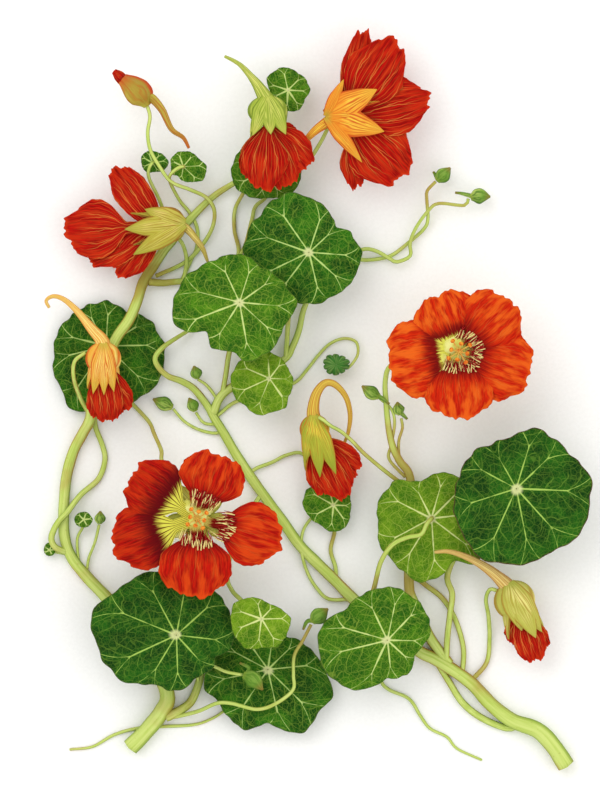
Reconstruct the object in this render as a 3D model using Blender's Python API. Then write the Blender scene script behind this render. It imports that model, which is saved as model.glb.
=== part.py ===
import math

import bpy
import numpy as np

# A nasturtium with two cut trailing stems, laid flat and seen from above.
# The plan is given in drawing units, counted right and down from the drawing's corner,
# and heights above the table in millimetres. One unit is UNIT metres on the plant.

UNIT = 0.42e-3
CENTRE = (316.5, 404.1)
MM = 1e-3

BLADE = 0.85 * MM
PETAL = 0.8 * MM
LEAF_GAP = 0.45 * MM
THIN = 1.25

DARK = (0.04, 0.17, 0.03)
MID = (0.09, 0.27, 0.04)
LIGHT = (0.2, 0.38, 0.08)
STEM = (0.42, 0.47, 0.12)
RED = (0.72, 0.05, 0.015)
YELLOW = (0.8, 0.55, 0.12)

for old in list(bpy.data.objects):
    bpy.data.objects.remove(old, do_unlink=True)


def at(x, y, z):
    """Drawing units and a height in millimetres to metres."""
    return np.array([(x - CENTRE[0]) * UNIT, (CENTRE[1] - y) * UNIT, z * MM])


def unit(vector):
    return vector / np.linalg.norm(vector)


def material(name, colour, roughness=0.55):
    found = bpy.data.materials.get(name)
    if found is None:
        found = bpy.data.materials.new(name)
        found.use_nodes = True
        shader = found.node_tree.nodes["Principled BSDF"]
        shader.inputs["Base Color"].default_value = (*colour, 1.0)
        shader.inputs["Roughness"].default_value = roughness
        found.diffuse_color = (*colour, 1.0)
    return found


def solid(name, points, faces):
    points = np.asarray(points, float)
    fans = np.array([(f[0], f[i], f[i + 1]) for f in faces for i in range(1, len(f) - 1)])
    if np.linalg.det(points[fans] - points[0]).sum() < 0:
        faces = [tuple(reversed(f)) for f in faces]
    mesh = bpy.data.meshes.new(name)
    mesh.from_pydata([tuple(p) for p in points], [], [tuple(f) for f in faces])
    mesh.validate()
    obj = bpy.data.objects.new(name, mesh)
    bpy.context.scene.collection.objects.link(obj)
    return obj


def paint(obj, colour_name, colour):
    obj.data.materials.clear()
    obj.data.materials.append(material(colour_name, colour))
    obj.data.shade_smooth()
    obj.data.set_sharp_from_angle(angle=math.radians(50))
    return obj


def fused(name, shapes):
    """One body from overlapping closed shapes, by one union over a collection."""
    pieces = [solid(name + "_piece", *shape) for shape in shapes]
    first = pieces[0]
    first.name = name
    if len(pieces) > 1:
        group = bpy.data.collections.new(name + "_group")
        for piece in pieces[1:]:
            group.objects.link(piece)
        union = first.modifiers.new("union", "BOOLEAN")
        union.operation = "UNION"
        union.operand_type = "COLLECTION"
        union.solver = "MANIFOLD"
        union.collection = group
        apply_modifiers(first)
        for piece in pieces[1:]:
            bpy.data.objects.remove(piece, do_unlink=True)
        bpy.data.collections.remove(group)
    return first


def apply_modifiers(obj):
    graph = bpy.context.evaluated_depsgraph_get()
    made = bpy.data.meshes.new_from_object(obj.evaluated_get(graph), depsgraph=graph)
    obj.modifiers.clear()
    obj.data = made


def level_off(obj, size=0.6):
    """Cuts away what is below the table, which leaves small flats to lie on."""
    half = size / 2
    low = -0.05
    corners = [
        (-half, -half, low), (half, -half, low), (half, half, low), (-half, half, low),
        (-half, -half, 0), (half, -half, 0), (half, half, 0), (-half, half, 0),
    ]
    sides = [(0, 3, 2, 1), (4, 5, 6, 7), (0, 1, 5, 4), (1, 2, 6, 5), (2, 3, 7, 6), (3, 0, 4, 7)]
    cutter = solid(obj.name + "_table", corners, sides)
    cut = obj.modifiers.new("table", "BOOLEAN")
    cut.operation = "DIFFERENCE"
    cut.solver = "MANIFOLD"
    cut.object = cutter
    apply_modifiers(obj)
    bpy.data.objects.remove(cutter, do_unlink=True)


def curve_through(points, step):
    """Points about one step apart on a smooth curve through the given ones."""
    points = np.asarray(points, float)
    ends = np.vstack([2 * points[0] - points[1], points, 2 * points[-1] - points[-2]])
    made = []
    for i in range(len(points) - 1):
        a, b, c, d = ends[i:i + 4]
        count = max(1, int(round(np.linalg.norm(c[:3] - b[:3]) / step)))
        t = (np.arange(count) / count)[:, None]
        made.append(0.5 * (2 * b + (c - a) * t + (2 * a - 5 * b + 4 * c - d) * t ** 2
                           + (3 * b - a - 3 * c + d) * t ** 3))
    return np.vstack(made + [points[-1:]])


def tube(points, radii, sides):
    """A closed tube with flat ends; radii has one value for each point."""
    points = np.asarray(points, float)
    along = np.gradient(points, axis=0)
    along /= np.linalg.norm(along, axis=1)[:, None]
    side = np.cross(along[0], (0.0, 0.0, 1.0))
    if np.linalg.norm(side) < 0.1:
        side = np.cross(along[0], (1.0, 0.0, 0.0))
    side = unit(side)
    angle = (np.arange(sides) + 0.5) * 2 * np.pi / sides
    rings = []
    for point, ahead, radius in zip(points, along, radii):
        side = unit(side - ahead * (side @ ahead))
        up = np.cross(side, ahead)
        rings.append(point + radius * (np.outer(np.cos(angle), side) + np.outer(np.sin(angle), up)))
    made = np.vstack(rings)
    faces = [tuple(range(sides)), tuple(range(len(made) - 1, len(made) - sides - 1, -1))]
    for i in range(len(points) - 1):
        for j in range(sides):
            k = (j + 1) % sides
            a, b = i * sides + j, i * sides + k
            faces.append((a, a + sides, b + sides, b))
    return made, faces


def stalk(plan, radius_ends, sides=6, step=6.0):
    """A stem along plan rows (right, down, height); its radii in millimetres are spread evenly
    over its length."""
    spots = np.array([at(*row) for row in plan])
    path = curve_through(spots, step * MM)
    run = np.concatenate([[0], np.cumsum(np.linalg.norm(np.diff(path, axis=0), axis=1))])
    shares = run / run[-1]
    radii = np.interp(shares, np.linspace(0, 1, len(radius_ends)), radius_ends) * MM
    return tube(path, radii, sides)


def sheet(top, under):
    """A closed sheet between two grids of points, split into triangles alike on both faces."""
    rows, columns = top.shape[:2]
    points = np.vstack([top.reshape(-1, 3), under.reshape(-1, 3)])
    count = rows * columns
    faces = []
    for i in range(rows - 1):
        for j in range(columns - 1):
            a, b = i * columns + j, i * columns + j + 1
            c, d = b + columns, a + columns
            for tri in ((a, b, c), (a, c, d)):
                faces.append(tri)
                faces.append(tuple(v + count for v in reversed(tri)))
    rim = ([(0, j) for j in range(columns - 1)] + [(i, columns - 1) for i in range(rows - 1)]
           + [(rows - 1, j) for j in range(columns - 1, 0, -1)] + [(i, 0) for i in range(rows - 1, 0, -1)])
    rim = [i * columns + j for i, j in rim]
    for a, b in zip(rim, rim[1:] + rim[:1]):
        faces += [(a, a + count, b + count), (a, b + count, b)]
    return points, faces


def leaf_shape(centre, height, reach, extra=(), dish=1.5, wave=1.0, lobes=7, phase=0.0,
               corners=32, rings=3, scallop=0.03):
    """A round blade held at its middle. reach is the rim's distance at even angles from the right,
    anticlockwise, in drawing units, and extra holds further (angle in degrees, distance) pairs;
    dish and wave are the rim's rise and its ripple in millimetres."""
    known = sorted([(360.0 * i / len(reach), r) for i, r in enumerate(reach)] + list(extra))
    known = np.array(known + [(360.0, reach[0])])
    angle = np.arange(corners) * 2 * np.pi / corners
    rim = np.interp(np.degrees(angle), known[:, 0], known[:, 1])
    rim *= 1 + scallop * np.cos(lobes * 2 * angle + phase)
    rows = []
    for ring in range(1, rings + 1):
        share = (ring / rings) ** 0.9
        x, y = share * rim * np.cos(angle), share * rim * np.sin(angle)
        bow = dish * share ** 2 + wave * share ** 2 * np.cos(lobes * angle + phase)
        z = height + bow
        rows.append(np.stack([(centre[0] + x - CENTRE[0]) * UNIT,
                              (CENTRE[1] - centre[1] + y) * UNIT, z * MM], axis=1))
    top = np.vstack([at(*centre, height)[None, :]] + rows)
    points = np.vstack([top, top - (0, 0, BLADE)])
    count = len(top)
    faces = []
    for j in range(corners):
        k = (j + 1) % corners
        tris = [(0, 1 + j, 1 + k)]
        for ring in range(rings - 1):
            a, b = 1 + ring * corners + j, 1 + ring * corners + k
            tris += [(a, a + corners, b + corners), (a, b + corners, b)]
        for tri in tris:
            faces += [tri, tuple(v + count for v in reversed(tri))]
        a, b = 1 + (rings - 1) * corners + j, 1 + (rings - 1) * corners + k
        faces += [(a, a + count, b + count), (a, b + count, b)]
    return points, faces


def leaf(name, centre, height, tint, **shape):
    obj = fused(name, [leaf_shape(centre, height, **shape)])
    return paint(obj, "leaf_" + tint, {"dark": DARK, "mid": MID, "light": LIGHT}[tint])


def petal_shape(base, tip, width, bulge=3.0, claw=0.16, ruffle=1.0, waves=3.0, phase=0.0, curl=0.0,
                facing=(0, 0, 1), point=0.0, rows=4, columns=4, thick=PETAL):
    """A petal from base to tip (right, down, height). width is in drawing units at its widest;
    bulge, ruffle and curl in millimetres; claw is the base's share of the width; point above
    zero narrows the end to a sepal's tip."""
    start, end = at(*base), at(*tip)
    ahead = end - start
    length = np.linalg.norm(ahead)
    ahead /= length
    across = unit(np.cross(np.asarray(facing, float), ahead))
    out = np.cross(ahead, across)
    u = np.linspace(0, 1, rows)[:, None]
    v = np.linspace(-1, 1, columns)[None, :]
    if point:
        half = claw + (1 - claw) * np.sin(np.pi * np.clip(u * 1.25, 0, 1) * 0.5)
        half = half * np.clip((1 - u) / 0.5, 0.12, 1) ** point
        reach = length * u + 0 * v
    else:
        half = claw + (1 - claw) * np.sin(0.5 * np.pi * np.clip(u * 1.35, 0, 1)) ** 1.4
        half = half * (1 - 0.18 * np.clip((u - 0.74) / 0.26, 0, 1) ** 2)
        reach = length * u * (1 - 0.2 * v ** 2 * u) * (1 + 0.025 * np.cos(waves * 2 * v + phase))
    wide = 0.5 * width * UNIT * half * v
    rise = (bulge * np.sin(np.pi * u) * (1 - 0.4 * v ** 2)
            + ruffle * u ** 2 * np.sin(waves * v + phase) * np.abs(v) - curl * u ** 2 * v ** 2) * MM
    middle = (start + reach[..., None] * ahead + wide[..., None] * across + rise[..., None] * out)
    half_thick = 0.5 * thick * out
    return sheet(middle + half_thick, middle - half_thick)


def ball(centre, axes, frame=((1, 0, 0), (0, 1, 0), (0, 0, 1)), turns=8, bands=5):
    """An ellipsoid with closed poles; axes are its half sizes in millimetres along the frame."""
    frame = np.array([unit(np.asarray(row, float)) for row in frame])
    middle = np.asarray(centre, float)
    lat = np.linspace(-np.pi / 2, np.pi / 2, bands + 2)[1:-1]
    lon = np.arange(turns) * 2 * np.pi / turns
    local = [np.array([[0, 0, -1.0]])]
    for a in lat:
        local.append(np.stack([np.cos(a) * np.cos(lon), np.cos(a) * np.sin(lon), 0 * lon + np.sin(a)], axis=1))
    local.append(np.array([[0, 0, 1.0]]))
    local = np.vstack(local) * np.asarray(axes, float) * MM
    points = middle + local @ frame
    last = len(points) - 1
    faces = []
    for j in range(turns):
        k = (j + 1) % turns
        faces.append((0, 1 + k, 1 + j))
        for band in range(bands - 1):
            a, b = 1 + band * turns + j, 1 + band * turns + k
            faces.append((a, b, b + turns, a + turns))
        faces.append((last - turns + j, last - turns + k, last))
    return points, faces


def pod_shape(path_plan, profile, sides=8, step=3.0):
    """A turned body along a short curved axis; profile gives radii in millimetres at even shares."""
    path = curve_through([at(*row) for row in path_plan], step * MM)
    run = np.concatenate([[0], np.cumsum(np.linalg.norm(np.diff(path, axis=0), axis=1))])
    radii = np.interp(run / run[-1], np.linspace(0, 1, len(profile)), profile) * MM
    return tube(path, radii, sides)


LEAVES = [
    ("leaf_01", (288, 91), 14, "mid", dict(reach=(22, 21, 19.5, 22.5, 23.5, 24.5, 18, 17, 20, 21, 23, 19),
     corners=18, rings=2, lobes=5, wave=0.5, dish=-0.5)),
    ("leaf_02", (153, 163.6), 12, "dark", dict(reach=(16, 14, 12, 12, 13, 13, 11, 11, 11, 9, 10, 14),
     corners=16, rings=2, lobes=4, wave=0.4, dish=-0.6)),
    ("leaf_03", (183.7, 167.4), 14, "mid", dict(reach=(23, 17, 16.5, 15.4, 15.5, 14.5, 12, 14, 10.5, 14.5, 17.5, 24.5),
     corners=18, rings=2, lobes=5, wave=0.4, dish=-0.6)),
    ("leaf_04", (265, 172), 12, "mid", dict(reach=(36, 35, 33, 33, 34, 32, 34, 33, 30, 26, 30, 36),
     corners=20, rings=2, lobes=6, wave=1.0, dish=0.3)),
    ("leaf_05", (309, 253), 20, "dark", dict(reach=(52, 45, 44, 55, 62, 63, 66, 58, 52, 52, 50, 52),
     extra=((43, 36), (108, 64)), corners=28, rings=2, lobes=7, wave=1.1, dish=-0.8)),
    ("leaf_06", (240, 303), 30, "light", dict(reach=(57, 46, 41, 49, 48, 58, 66, 60, 53, 58, 58, 50),
     extra=((195, 70), (221, 43), (265, 49), (276, 59)), corners=28, rings=2, lobes=7, wave=1.2, dish=-0.8)),
    ("leaf_07", (269.6, 378.5), 18, "light", dict(reach=(23, 21, 23, 26, 28, 34, 39, 39, 36.5, 34, 33.5, 25.6),
     extra=((255, 39), (315, 26)), corners=24, rings=2, lobes=6, wave=0.9, dish=-0.6)),
    ("leaf_08", (106, 346), 4.2, "dark", dict(reach=(58, 51, 40, 45, 44, 48, 52, 61, 72, 66, 62, 64),
     extra=((195, 53), (225, 61)), corners=28, rings=2, lobes=8, wave=0.7, dish=0.7)),
    ("leaf_09", (333.5, 505), 7, "mid", dict(reach=(17, 19, 21, 20, 24, 31, 31, 26, 24, 27, 25, 19),
     corners=18, rings=2, lobes=5, wave=0.6, dish=0.3)),
    ("leaf_10", (431, 518), 16, "light", dict(reach=(45, 48, 50, 44, 42, 52, 53, 58, 58, 62, 47, 58),
     extra=((105, 38), (135, 55), (165, 57), (255, 66), (315, 66)), corners=28, rings=2, lobes=7, wave=1.2, dish=-0.8)),
    ("leaf_11", (515, 488), 28, "dark", dict(reach=(72, 64, 63, 53.5, 49, 56, 60.5, 68, 77, 76.6, 72, 79),
     extra=((8, 77), (45, 62), (75, 63), (135, 57)), corners=32, rings=2, lobes=8, wave=1.2, dish=-1.0)),
    ("leaf_12", (387, 639), 22, "mid", dict(reach=(38, 47, 50, 53.7, 51, 54, 69.5, 69, 57, 38, 40, 31),
     extra=((10, 44.6), (165, 67), (225, 65), (250, 50), (315, 36)), corners=28, rings=2, lobes=7, wave=1.2, dish=-0.6)),
    ("leaf_13", (177, 634), 22, "dark", dict(reach=(57.5, 58, 58, 64, 69, 77, 82.5, 73, 54, 56, 46, 45),
     extra=((167, 89), (195, 78), (222, 72), (315, 50), (345, 55.5)), corners=32, rings=2, lobes=9, wave=1.2, dish=-0.6)),
    ("leaf_14", (261.8, 617.5), 30, "light", dict(reach=(29, 21, 16.5, 19, 24.5, 31.5, 30.5, 31, 34, 28, 32, 29.5),
     corners=24, rings=2, lobes=6, wave=0.8, dish=-0.6)),
    ("leaf_15", (268, 669), 8, "dark", dict(reach=(56, 46, 38, 40, 45, 52, 62, 60, 62, 52, 74, 70),
     extra=((195, 67), (250, 66), (340, 71), (322, 64)), corners=28, rings=2, lobes=8, wave=1.2, dish=0.4)),
    ("leaf_16", (84, 519.5), 6, "mid", dict(reach=(9, 8, 8, 8, 8, 9, 9.5, 9, 8, 8, 8, 8.5),
     corners=12, rings=1, lobes=3, wave=0.3, dish=0.5)),
    ("leaf_17", (49.7, 550), 3, "mid", dict(reach=(6, 6, 7, 8, 7, 6, 5.7, 5.7, 6, 6, 6, 6),
     corners=12, rings=1, lobes=3, wave=0.2, dish=0.1)),
]
LEAF_AT = {row[0]: (row[1], row[2]) for row in LEAVES}


def under(name, drop=2.4):
    """The last two rows of a leaf stalk that ends just below the middle of its blade."""
    (x, y), z = LEAF_AT[name]
    low = z - (BLADE + LEAF_GAP) / MM
    return [(x, y, low - drop), (x, y, low)]


def over(name, lift=2.0):
    """The first two rows of a leaf stalk that comes down onto a blade seen from its back."""
    (x, y), z = LEAF_AT[name]
    return [(x, y, z + LEAF_GAP / MM), (x, y, z + LEAF_GAP / MM + lift)]


def stem_left():
    """The left vine, its forks, and the leaf and flower stalks that grow from it."""
    vine = [
        (130, 747, 3.3), (144, 733, 3.2), (161, 712, 3.1), (167, 693, 3), (150, 655, 2.9),
        (127, 622, 2.8), (107, 598, 2.7), (87, 577, 2.6), (72, 558, 2.5), (65, 539, 2.4),
        (63.6, 519, 2.1), (64.4, 496, 2), (67, 474, 1.9), (73.6, 451, 2.1), (83, 433, 3.5),
        (90.8, 418, 7), (92, 400, 9.3), (100, 375, 10), (110, 352, 10), (118, 336, 10),
        (129.5, 319.6, 9.8), (137.8, 300, 8), (143, 283, 4.5), (153, 266.6, 2.4), (164.4, 250, 1.9),
        (172, 241, 1.8), (187.5, 222, 1.6), (210.4, 199, 2.4), (230, 185.6, 4), (243, 179, 5.5),
        (262, 166, 7), (275, 152, 8.5),
    ]
    thick = (3.6, 3.3, 2.9, 2.6, 2.3, 2.25, 2.3, 2.35, 2.3, 2.2, 1.8, 1.2, 1.0)
    parts = [stalk(vine, thick, sides=8, step=8.0)]
    thin = [
        ([(149, 282, 4), (163, 283, 3), (183, 281.5, 2.4), (200, 285, 1.6)], (1.6, 1.1)),
        ([(166, 717, 3), (173, 714, 3), (190, 702.6, 2.4), (198.7, 683.5, 2), (205, 660, 1.6),
          (225, 664, 1.4), (250, 668, 1.5), (265, 669, 3), *under("leaf_15")], (2, 1.5, 1.1)),
        ([(66, 552, 3), (55.4, 547, 5.2), (51.6, 538.6, 5.4), (54.4, 529, 5.6), (60, 520, 6),
          (67.8, 511.8, 5.6), (81, 494.6, 3), (98.4, 479, 1.2), (105, 460, 0.9), (102.3, 445, 0.9),
          (95, 424, 0.9), (97, 400, 0.9), (102, 370, 0.9), (106, 350, 1),
          *under("leaf_08", 1.2)], (1.4, 1.2, 1.1, 1.0)),
        ([(88, 411, 8), (81.5, 399, 12), (74.8, 379, 17), (75.5, 362, 19.5), (86.2, 352.8, 19.5)], (1.0, 0.8)),
        ([(148.4, 109, 18), (150.6, 118, 18), (148.3, 134, 17.5), (151, 151, 16), (160.7, 168.4, 15.5),
          (172, 182.7, 13), (191, 190.4, 10), (206.6, 198, 7), (214.3, 210.4, 5), (212.4, 227.7, 3.5),
          (201, 246.8, 2.5), (184, 263, 2), (156, 276, 3)], (0.75, 0.9)),
        ([*over("leaf_02", 2.6), (150, 168, 14.2), (149.2, 178, 11), (159, 199, 6),
          (164, 212.4, 3), (170, 228, 2), (174, 240, 2)], (0.7, 0.8)),
        ([*over("leaf_03"), (178, 169, 16.8), (170.5, 176, 15),
          (170.8, 183.7, 10), (180, 201, 4), (189.4, 212.4, 1.5), (197, 227.7, 1.1), (197, 246.8, 1.1),
          (191, 260, 1.2), (182, 280, 2)], (0.7, 0.8)),
        ([(171, 231, 10.95), (172, 233, 8.6), (182, 243, 5.5), (186.5, 258, 3.5), (185.6, 270, 2.5), (183, 281, 2.2)], (0.8, 0.9)),
        ([(260, 122, 17.6), (257.4, 127.5, 14.6), (251.5, 138, 10.8), (248, 150, 8.6), (246, 185.6, 5), (235.4, 208.5, 2),
          (234.4, 229.6, 1.2), (238.3, 254.4, 1.1), (222, 272, 1.1), (198, 285, 1.4)], (0.7, 0.9)),
        ([*reversed(under("leaf_04")), (267, 195, 4.5), (255.5, 206.6, 2), (251.7, 220, 1.2),
          (243, 250, 1.1), (225, 270, 1.1)], (0.8, 0.8)),
        ([*reversed(under("leaf_01")), (287, 105, 8.5), (283, 130, 8), (273, 154, 8.3)], (0.7, 0.8)),
        ([(330, 123, 18.1), (328.6, 127, 16), (320, 144, 12.5), (308, 160.7, 9), (290, 168, 7.5), (266, 164, 7.2)], (0.8, 0.9)),
        ([*reversed(under("leaf_13")), (172, 638, 14), (162, 646, 7.5), (150, 655, 3)], (1.2, 1.4)),
        ([(189.2, 505.7, 24.3), (184, 499, 22.3), (175, 485, 17.5), (162.5, 462, 11),
          (161.6, 450.6, 8), (154.4, 434, 5), (149.4, 422.4, 2.5), (136, 407.5, 0.9), (120, 392, 0.8),
          (100, 385, 0.9)], (0.9, 0.8)),
        ([(311, 624, 12.8), (303, 639.5, 12.8), (294.4, 654.8, 12.6), (293.4, 674, 12.6),
          (293, 689, 12.6), (276, 702.6, 12.6), (257, 708.4, 12.4), (232, 702.6, 12), (217, 702.6, 10),
          (199.7, 710.3, 6), (182.4, 715, 3.5), (167, 718, 3)], (0.7, 0.9)),
        ([(242, 674, 13), (226.4, 671, 13), (213, 665.3, 12.5), (201, 665, 9.5), (198, 673, 5),
          (198.5, 684, 2.4)], (0.7, 0.8)),
        ([(69.6, 749.5, 0.5), (92.5, 746.6, 0.5), (113.6, 735, 0.5), (136.5, 728.4, 0.5),
          (161, 726.5, 0.5), (194, 724.6, 0.5), (213, 718, 0.6), (226.4, 709.3, 0.6)], (0.5, 0.7, 0.7, 0.5)),
        ([*reversed(under("leaf_16", 1.2)), (83, 527, 2.6), (77.4, 538.6, 2), (78.4, 557.7, 1.8),
          (81, 565, 2)], (0.6, 0.6)),
        ([*reversed(under("leaf_17", 0.8)), (56, 552, 0.7), (67, 554, 1.5)], (0.6, 0.6)),
        ([(99.4, 524.6, 4.6), (95, 542.4, 3), (89, 557.7, 2), (87, 570, 2.4)], (0.6, 0.6)),
    ]
    parts += [stalk(rows, ends, sides=5 if max(ends) > THIN else 4, step=9.0) for rows, ends in thin]
    obj = fused("stem_left", parts)
    level_off(obj)
    return paint(obj, "stem_green", STEM)


def stem_right():
    """The right vine, its fork and second branch, and the stalks that grow from them."""
    vine = [
        (565.9, 765.7, 3.2), (553, 746, 3.2), (537, 730, 3), (512, 720.5, 2.7), (491, 704.5, 2.5),
        (472, 684, 2.4), (453, 670, 2.4), (434, 658.6, 2.3), (418.6, 651, 2.3), (385, 627, 2.2),
        (353.6, 599.3, 2.1), (334.4, 580, 2.1), (319, 565, 2.1), (300, 545.7, 2), (284, 523.3, 2),
        (268.7, 502.3, 1.9), (249.6, 475.5, 1.9), (236, 454.4, 1.9), (222.8, 431.5, 1.8),
        (214, 417.5, 1.7), (207.5, 406, 1.5), (194, 389, 2), (181, 381, 4), (167.7, 376, 7.2),
        (157.7, 366, 8.6), (155.5, 357, 8.9), (162.7, 347.8, 8.3), (172, 341, 6), (183, 334, 3.4),
        (196, 326, 1.4),
    ]
    thick = (3.7, 3.4, 2.95, 2.7, 2.6, 2.5, 2.4, 2.3, 2.2, 2.15, 1.8, 1.4, 1.1, 0.7)
    parts = [stalk(vine, thick, sides=8, step=8.0)]
    second = [
        (449, 664, 2.4), (430, 637.6, 2.6), (420, 615, 4), (411, 596, 5), (409, 586, 5), (409, 560, 5),
        (410, 520, 5), (410, 478, 6), (399.6, 461, 8), (392.7, 447, 10), (388.4, 428, 11.5),
        (385.8, 402, 13), (385, 381.5, 14.5), (390, 366, 15.5), (410, 357, 16.5), (430, 354, 18), (444, 353, 19),
    ]
    parts.append(stalk(second, (2.3, 2.2, 2.1, 2.0, 1.7, 1.2, 1.0, 0.9), sides=6, step=8.0))
    fork = [
        (213, 414, 1.8), (219, 399, 2.2), (229, 389, 2.4), (250, 378, 2.6), (283.7, 360, 3),
        (292.3, 347, 3.2), (299, 330, 3.4), (304.4, 307.5, 3.4), (318, 280, 3.4), (340, 262, 3.4),
        (361, 250, 3.4), (375, 250.7, 3.4), (390.5, 259.3, 3.4), (397, 262, 3.4), (410, 256, 3.4),
        (410, 243, 4), (416, 227.7, 5), (428.6, 210.4, 5.5), (439, 203.7, 6), (464, 205.7, 6.5),
        (468, 199, 7),
    ]
    parts.append(stalk(fork, (1.9, 1.7, 1.4, 1.1, 0.85, 0.8, 0.7, 0.7), sides=5, step=8.0))
    thin = [
        ([(350, 256, 3), (363, 260, 1.4), (382, 258.4, 1.2), (394, 254, 1.2), (409.4, 242, 1.6),
          (423, 230, 2.5), (427.7, 220, 4), (426.7, 201, 6), (427, 191.3, 6.5), (435.4, 182, 7)], (0.8, 0.7)),
        ([*reversed(under("leaf_05")), (303, 275, 10), (290, 310, 6.5), (287, 340, 5),
          (285.4, 361, 3)], (1.0, 1.0)),
        ([*reversed(under("leaf_07")), (262, 380, 8), (250, 379, 2.6)], (0.9, 1.0)),
        ([*reversed(under("leaf_06")), (235, 330, 14), (229, 354.5, 8), (225.7, 376, 5),
          (222.4, 394, 2.4)], (1.1, 1.1)),
        ([*reversed(under("leaf_09", 1.6)), (334, 520, 2), (334.4, 533, 1.4), (330.6, 550, 1.4),
          (335.4, 567, 1.6), (336, 580, 2)], (0.8, 0.9)),
        ([(248, 474, 2), (257, 468, 1.6), (271.7, 462.5, 1.4), (287, 455, 1.3), (302.7, 454, 1.2),
          (318, 475, 1), (328, 497, 1), (333.5, 520, 1.3)], (0.8, 0.6)),
        ([(352, 599, 2), (329, 599, 1.6), (317, 588.4, 1.4), (307.7, 573, 1.5), (302, 554, 3.6),
          (302, 535, 2), (308.6, 521.4, 1.1), (322, 510, 1), (333.5, 512, 1.4)], (0.8, 0.6)),
        ([*reversed(under("leaf_12")), (380, 632, 12), (366, 615, 5), (356, 601, 2.4)], (1.3, 1.4)),
        ([*reversed(under("leaf_14")), (255, 612, 23), (240, 598, 18), (232.4, 590, 15),
          (227.6, 577, 12), (232, 550, 7.5), (245, 520, 4), (262, 493, 2.2)], (0.9, 1.0)),
        ([(347, 368.6, 5.7), (352, 364, 5.4), (357.8, 354, 4), (356, 342, 2.6), (344, 338.5, 1.8),
          (330, 343.7, 1.3), (318, 355.7, 1.1), (306, 371, 1), (294, 383, 1), (265, 395, 1),
          (236, 401.7, 1), (217, 416, 1.4)], (0.6, 0.8)),
        ([(198, 379.4, 4.7), (207.5, 386, 3), (217, 399, 2.2)], (0.6, 0.7)),
        ([(173.4, 409, 2.8), (184, 421, 1.4), (197.5, 429, 1.1), (212.4, 433, 1.2), (222, 432, 1.8)], (0.6, 0.7)),
        ([(196, 412.4, 3.3), (201.7, 421, 2.4), (207.5, 424, 1.8), (218, 424, 1.7)], (0.6, 0.7)),
        ([*over("leaf_10"), (426.3, 523.3, 20), (420.5, 533.8, 20.6), (407, 536.7, 20.6),
          (391.8, 544.4, 20.6), (380.4, 561.6, 18.6), (373.7, 588, 12), (368, 603, 7), (356, 600, 2.4)],
         (0.9, 1.1)),
        ([*reversed(under("leaf_11")), (508, 493, 19), (483, 515, 10.5), (462, 543, 7.5),
          (447.3, 574.4, 6), (452, 593.6, 5.6), (450, 612.7, 5), (447.3, 635.7, 4.4), (446.4, 655, 3.6),
          (447, 667, 2.6)], (1.2, 1.3, 1.3)),
        ([(462, 675, 2.2), (463.6, 653, 1.8), (460.7, 635.7, 1.4), (453, 614.6, 1.3), (441.6, 597.4, 1.6),
          (424.4, 584, 3), (411, 572, 4.6)], (1.1, 1.1)),
        ([(496.4, 590, 13), (489.4, 589, 11.5), (485.6, 599.3, 8), (488.4, 616.5, 4), (489.4, 639.5, 2),
          (486.5, 662.4, 1.4), (472, 680, 2)], (0.8, 1.0)),
        ([(438, 664, 2.2), (449, 681.6, 1.3), (462.6, 702.6, 1.2), (482, 718, 1.2), (507, 728, 1.6),
          (520, 724, 2.2)], (1.3, 1.5, 1.4)),
        ([(383, 627, 2), (381, 650, 1), (380.4, 677.7, 0.6), (388, 689, 0.5), (409, 698.8, 0.5),
          (420.5, 716, 0.5), (430, 728.4, 0.5), (447, 737, 0.5), (457, 748.5, 0.5), (481.7, 760, 0.5)],
         (0.8, 0.7, 0.5)),
        ([(379.6, 398.5, 11.4), (391, 409, 12.5), (394.4, 423, 12.5), (391, 445, 8.4), (389, 459, 6.5),
          (405, 477, 6.2)], (0.6, 0.7)),
        ([(401, 418.5, 12.2), (402.2, 428, 11), (398.7, 440, 9.5), (398.7, 454, 8), (401, 463, 7.6)], (0.6, 0.7)),
        ([(330.6, 426.6, 15), (341, 431.5, 15.2), (352, 441, 14), (366.4, 455.6, 11), (394, 478, 7),
          (409, 487, 6)], (0.75, 0.9)),
    ]
    parts += [stalk(rows, ends, sides=5 if max(ends) > THIN else 4, step=9.0) for rows, ends in thin]
    obj = fused("stem_right", parts)
    level_off(obj)
    return paint(obj, "stem_green", STEM)


def calyx(name, core, ahead, half, sepals, spur, spur_thick=(2.0, 1.5, 1.1, 0.6)):
    """A filled calyx: an egg with pointed sepals over its front and a spur from its back.
    ahead is its mouth's direction on the plan; half its half sizes across, deep and along."""
    forward = unit(np.array([ahead[0], -ahead[1], ahead[2] if len(ahead) > 2 else 0.0], float))
    across = unit(np.cross(forward, (0.0, 0.0, 1.0)) if abs(forward[2]) < 0.9 else np.array([1.0, 0, 0]))
    deep = np.cross(across, forward)
    shapes = [ball(at(*core), (half[0], half[1], half[2]), (across, deep, forward), turns=8, bands=4)]
    for base, tip, width, facing in sepals:
        shapes.append(petal_shape(base, tip, width, bulge=0.9, claw=0.8, ruffle=0.0, facing=facing,
                                  point=0.9, rows=4, columns=3, thick=0.9 * MM))
    shapes.append(stalk(spur, spur_thick, sides=5, step=7.0))
    return paint(fused(name, shapes), "calyx_yellow", YELLOW)


THROAT = 1.5
ROOT = 0.4
SEAT = 0.3


def mouth(core, ahead, along):
    """Where the petals of a bloom seen from its side join: a small ball just past the calyx."""
    forward = unit(np.array([ahead[0], ahead[1]], float)) * (along + SEAT + THROAT) * MM / UNIT
    return (core[0] + forward[0], core[1] + forward[1], core[2])


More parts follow.
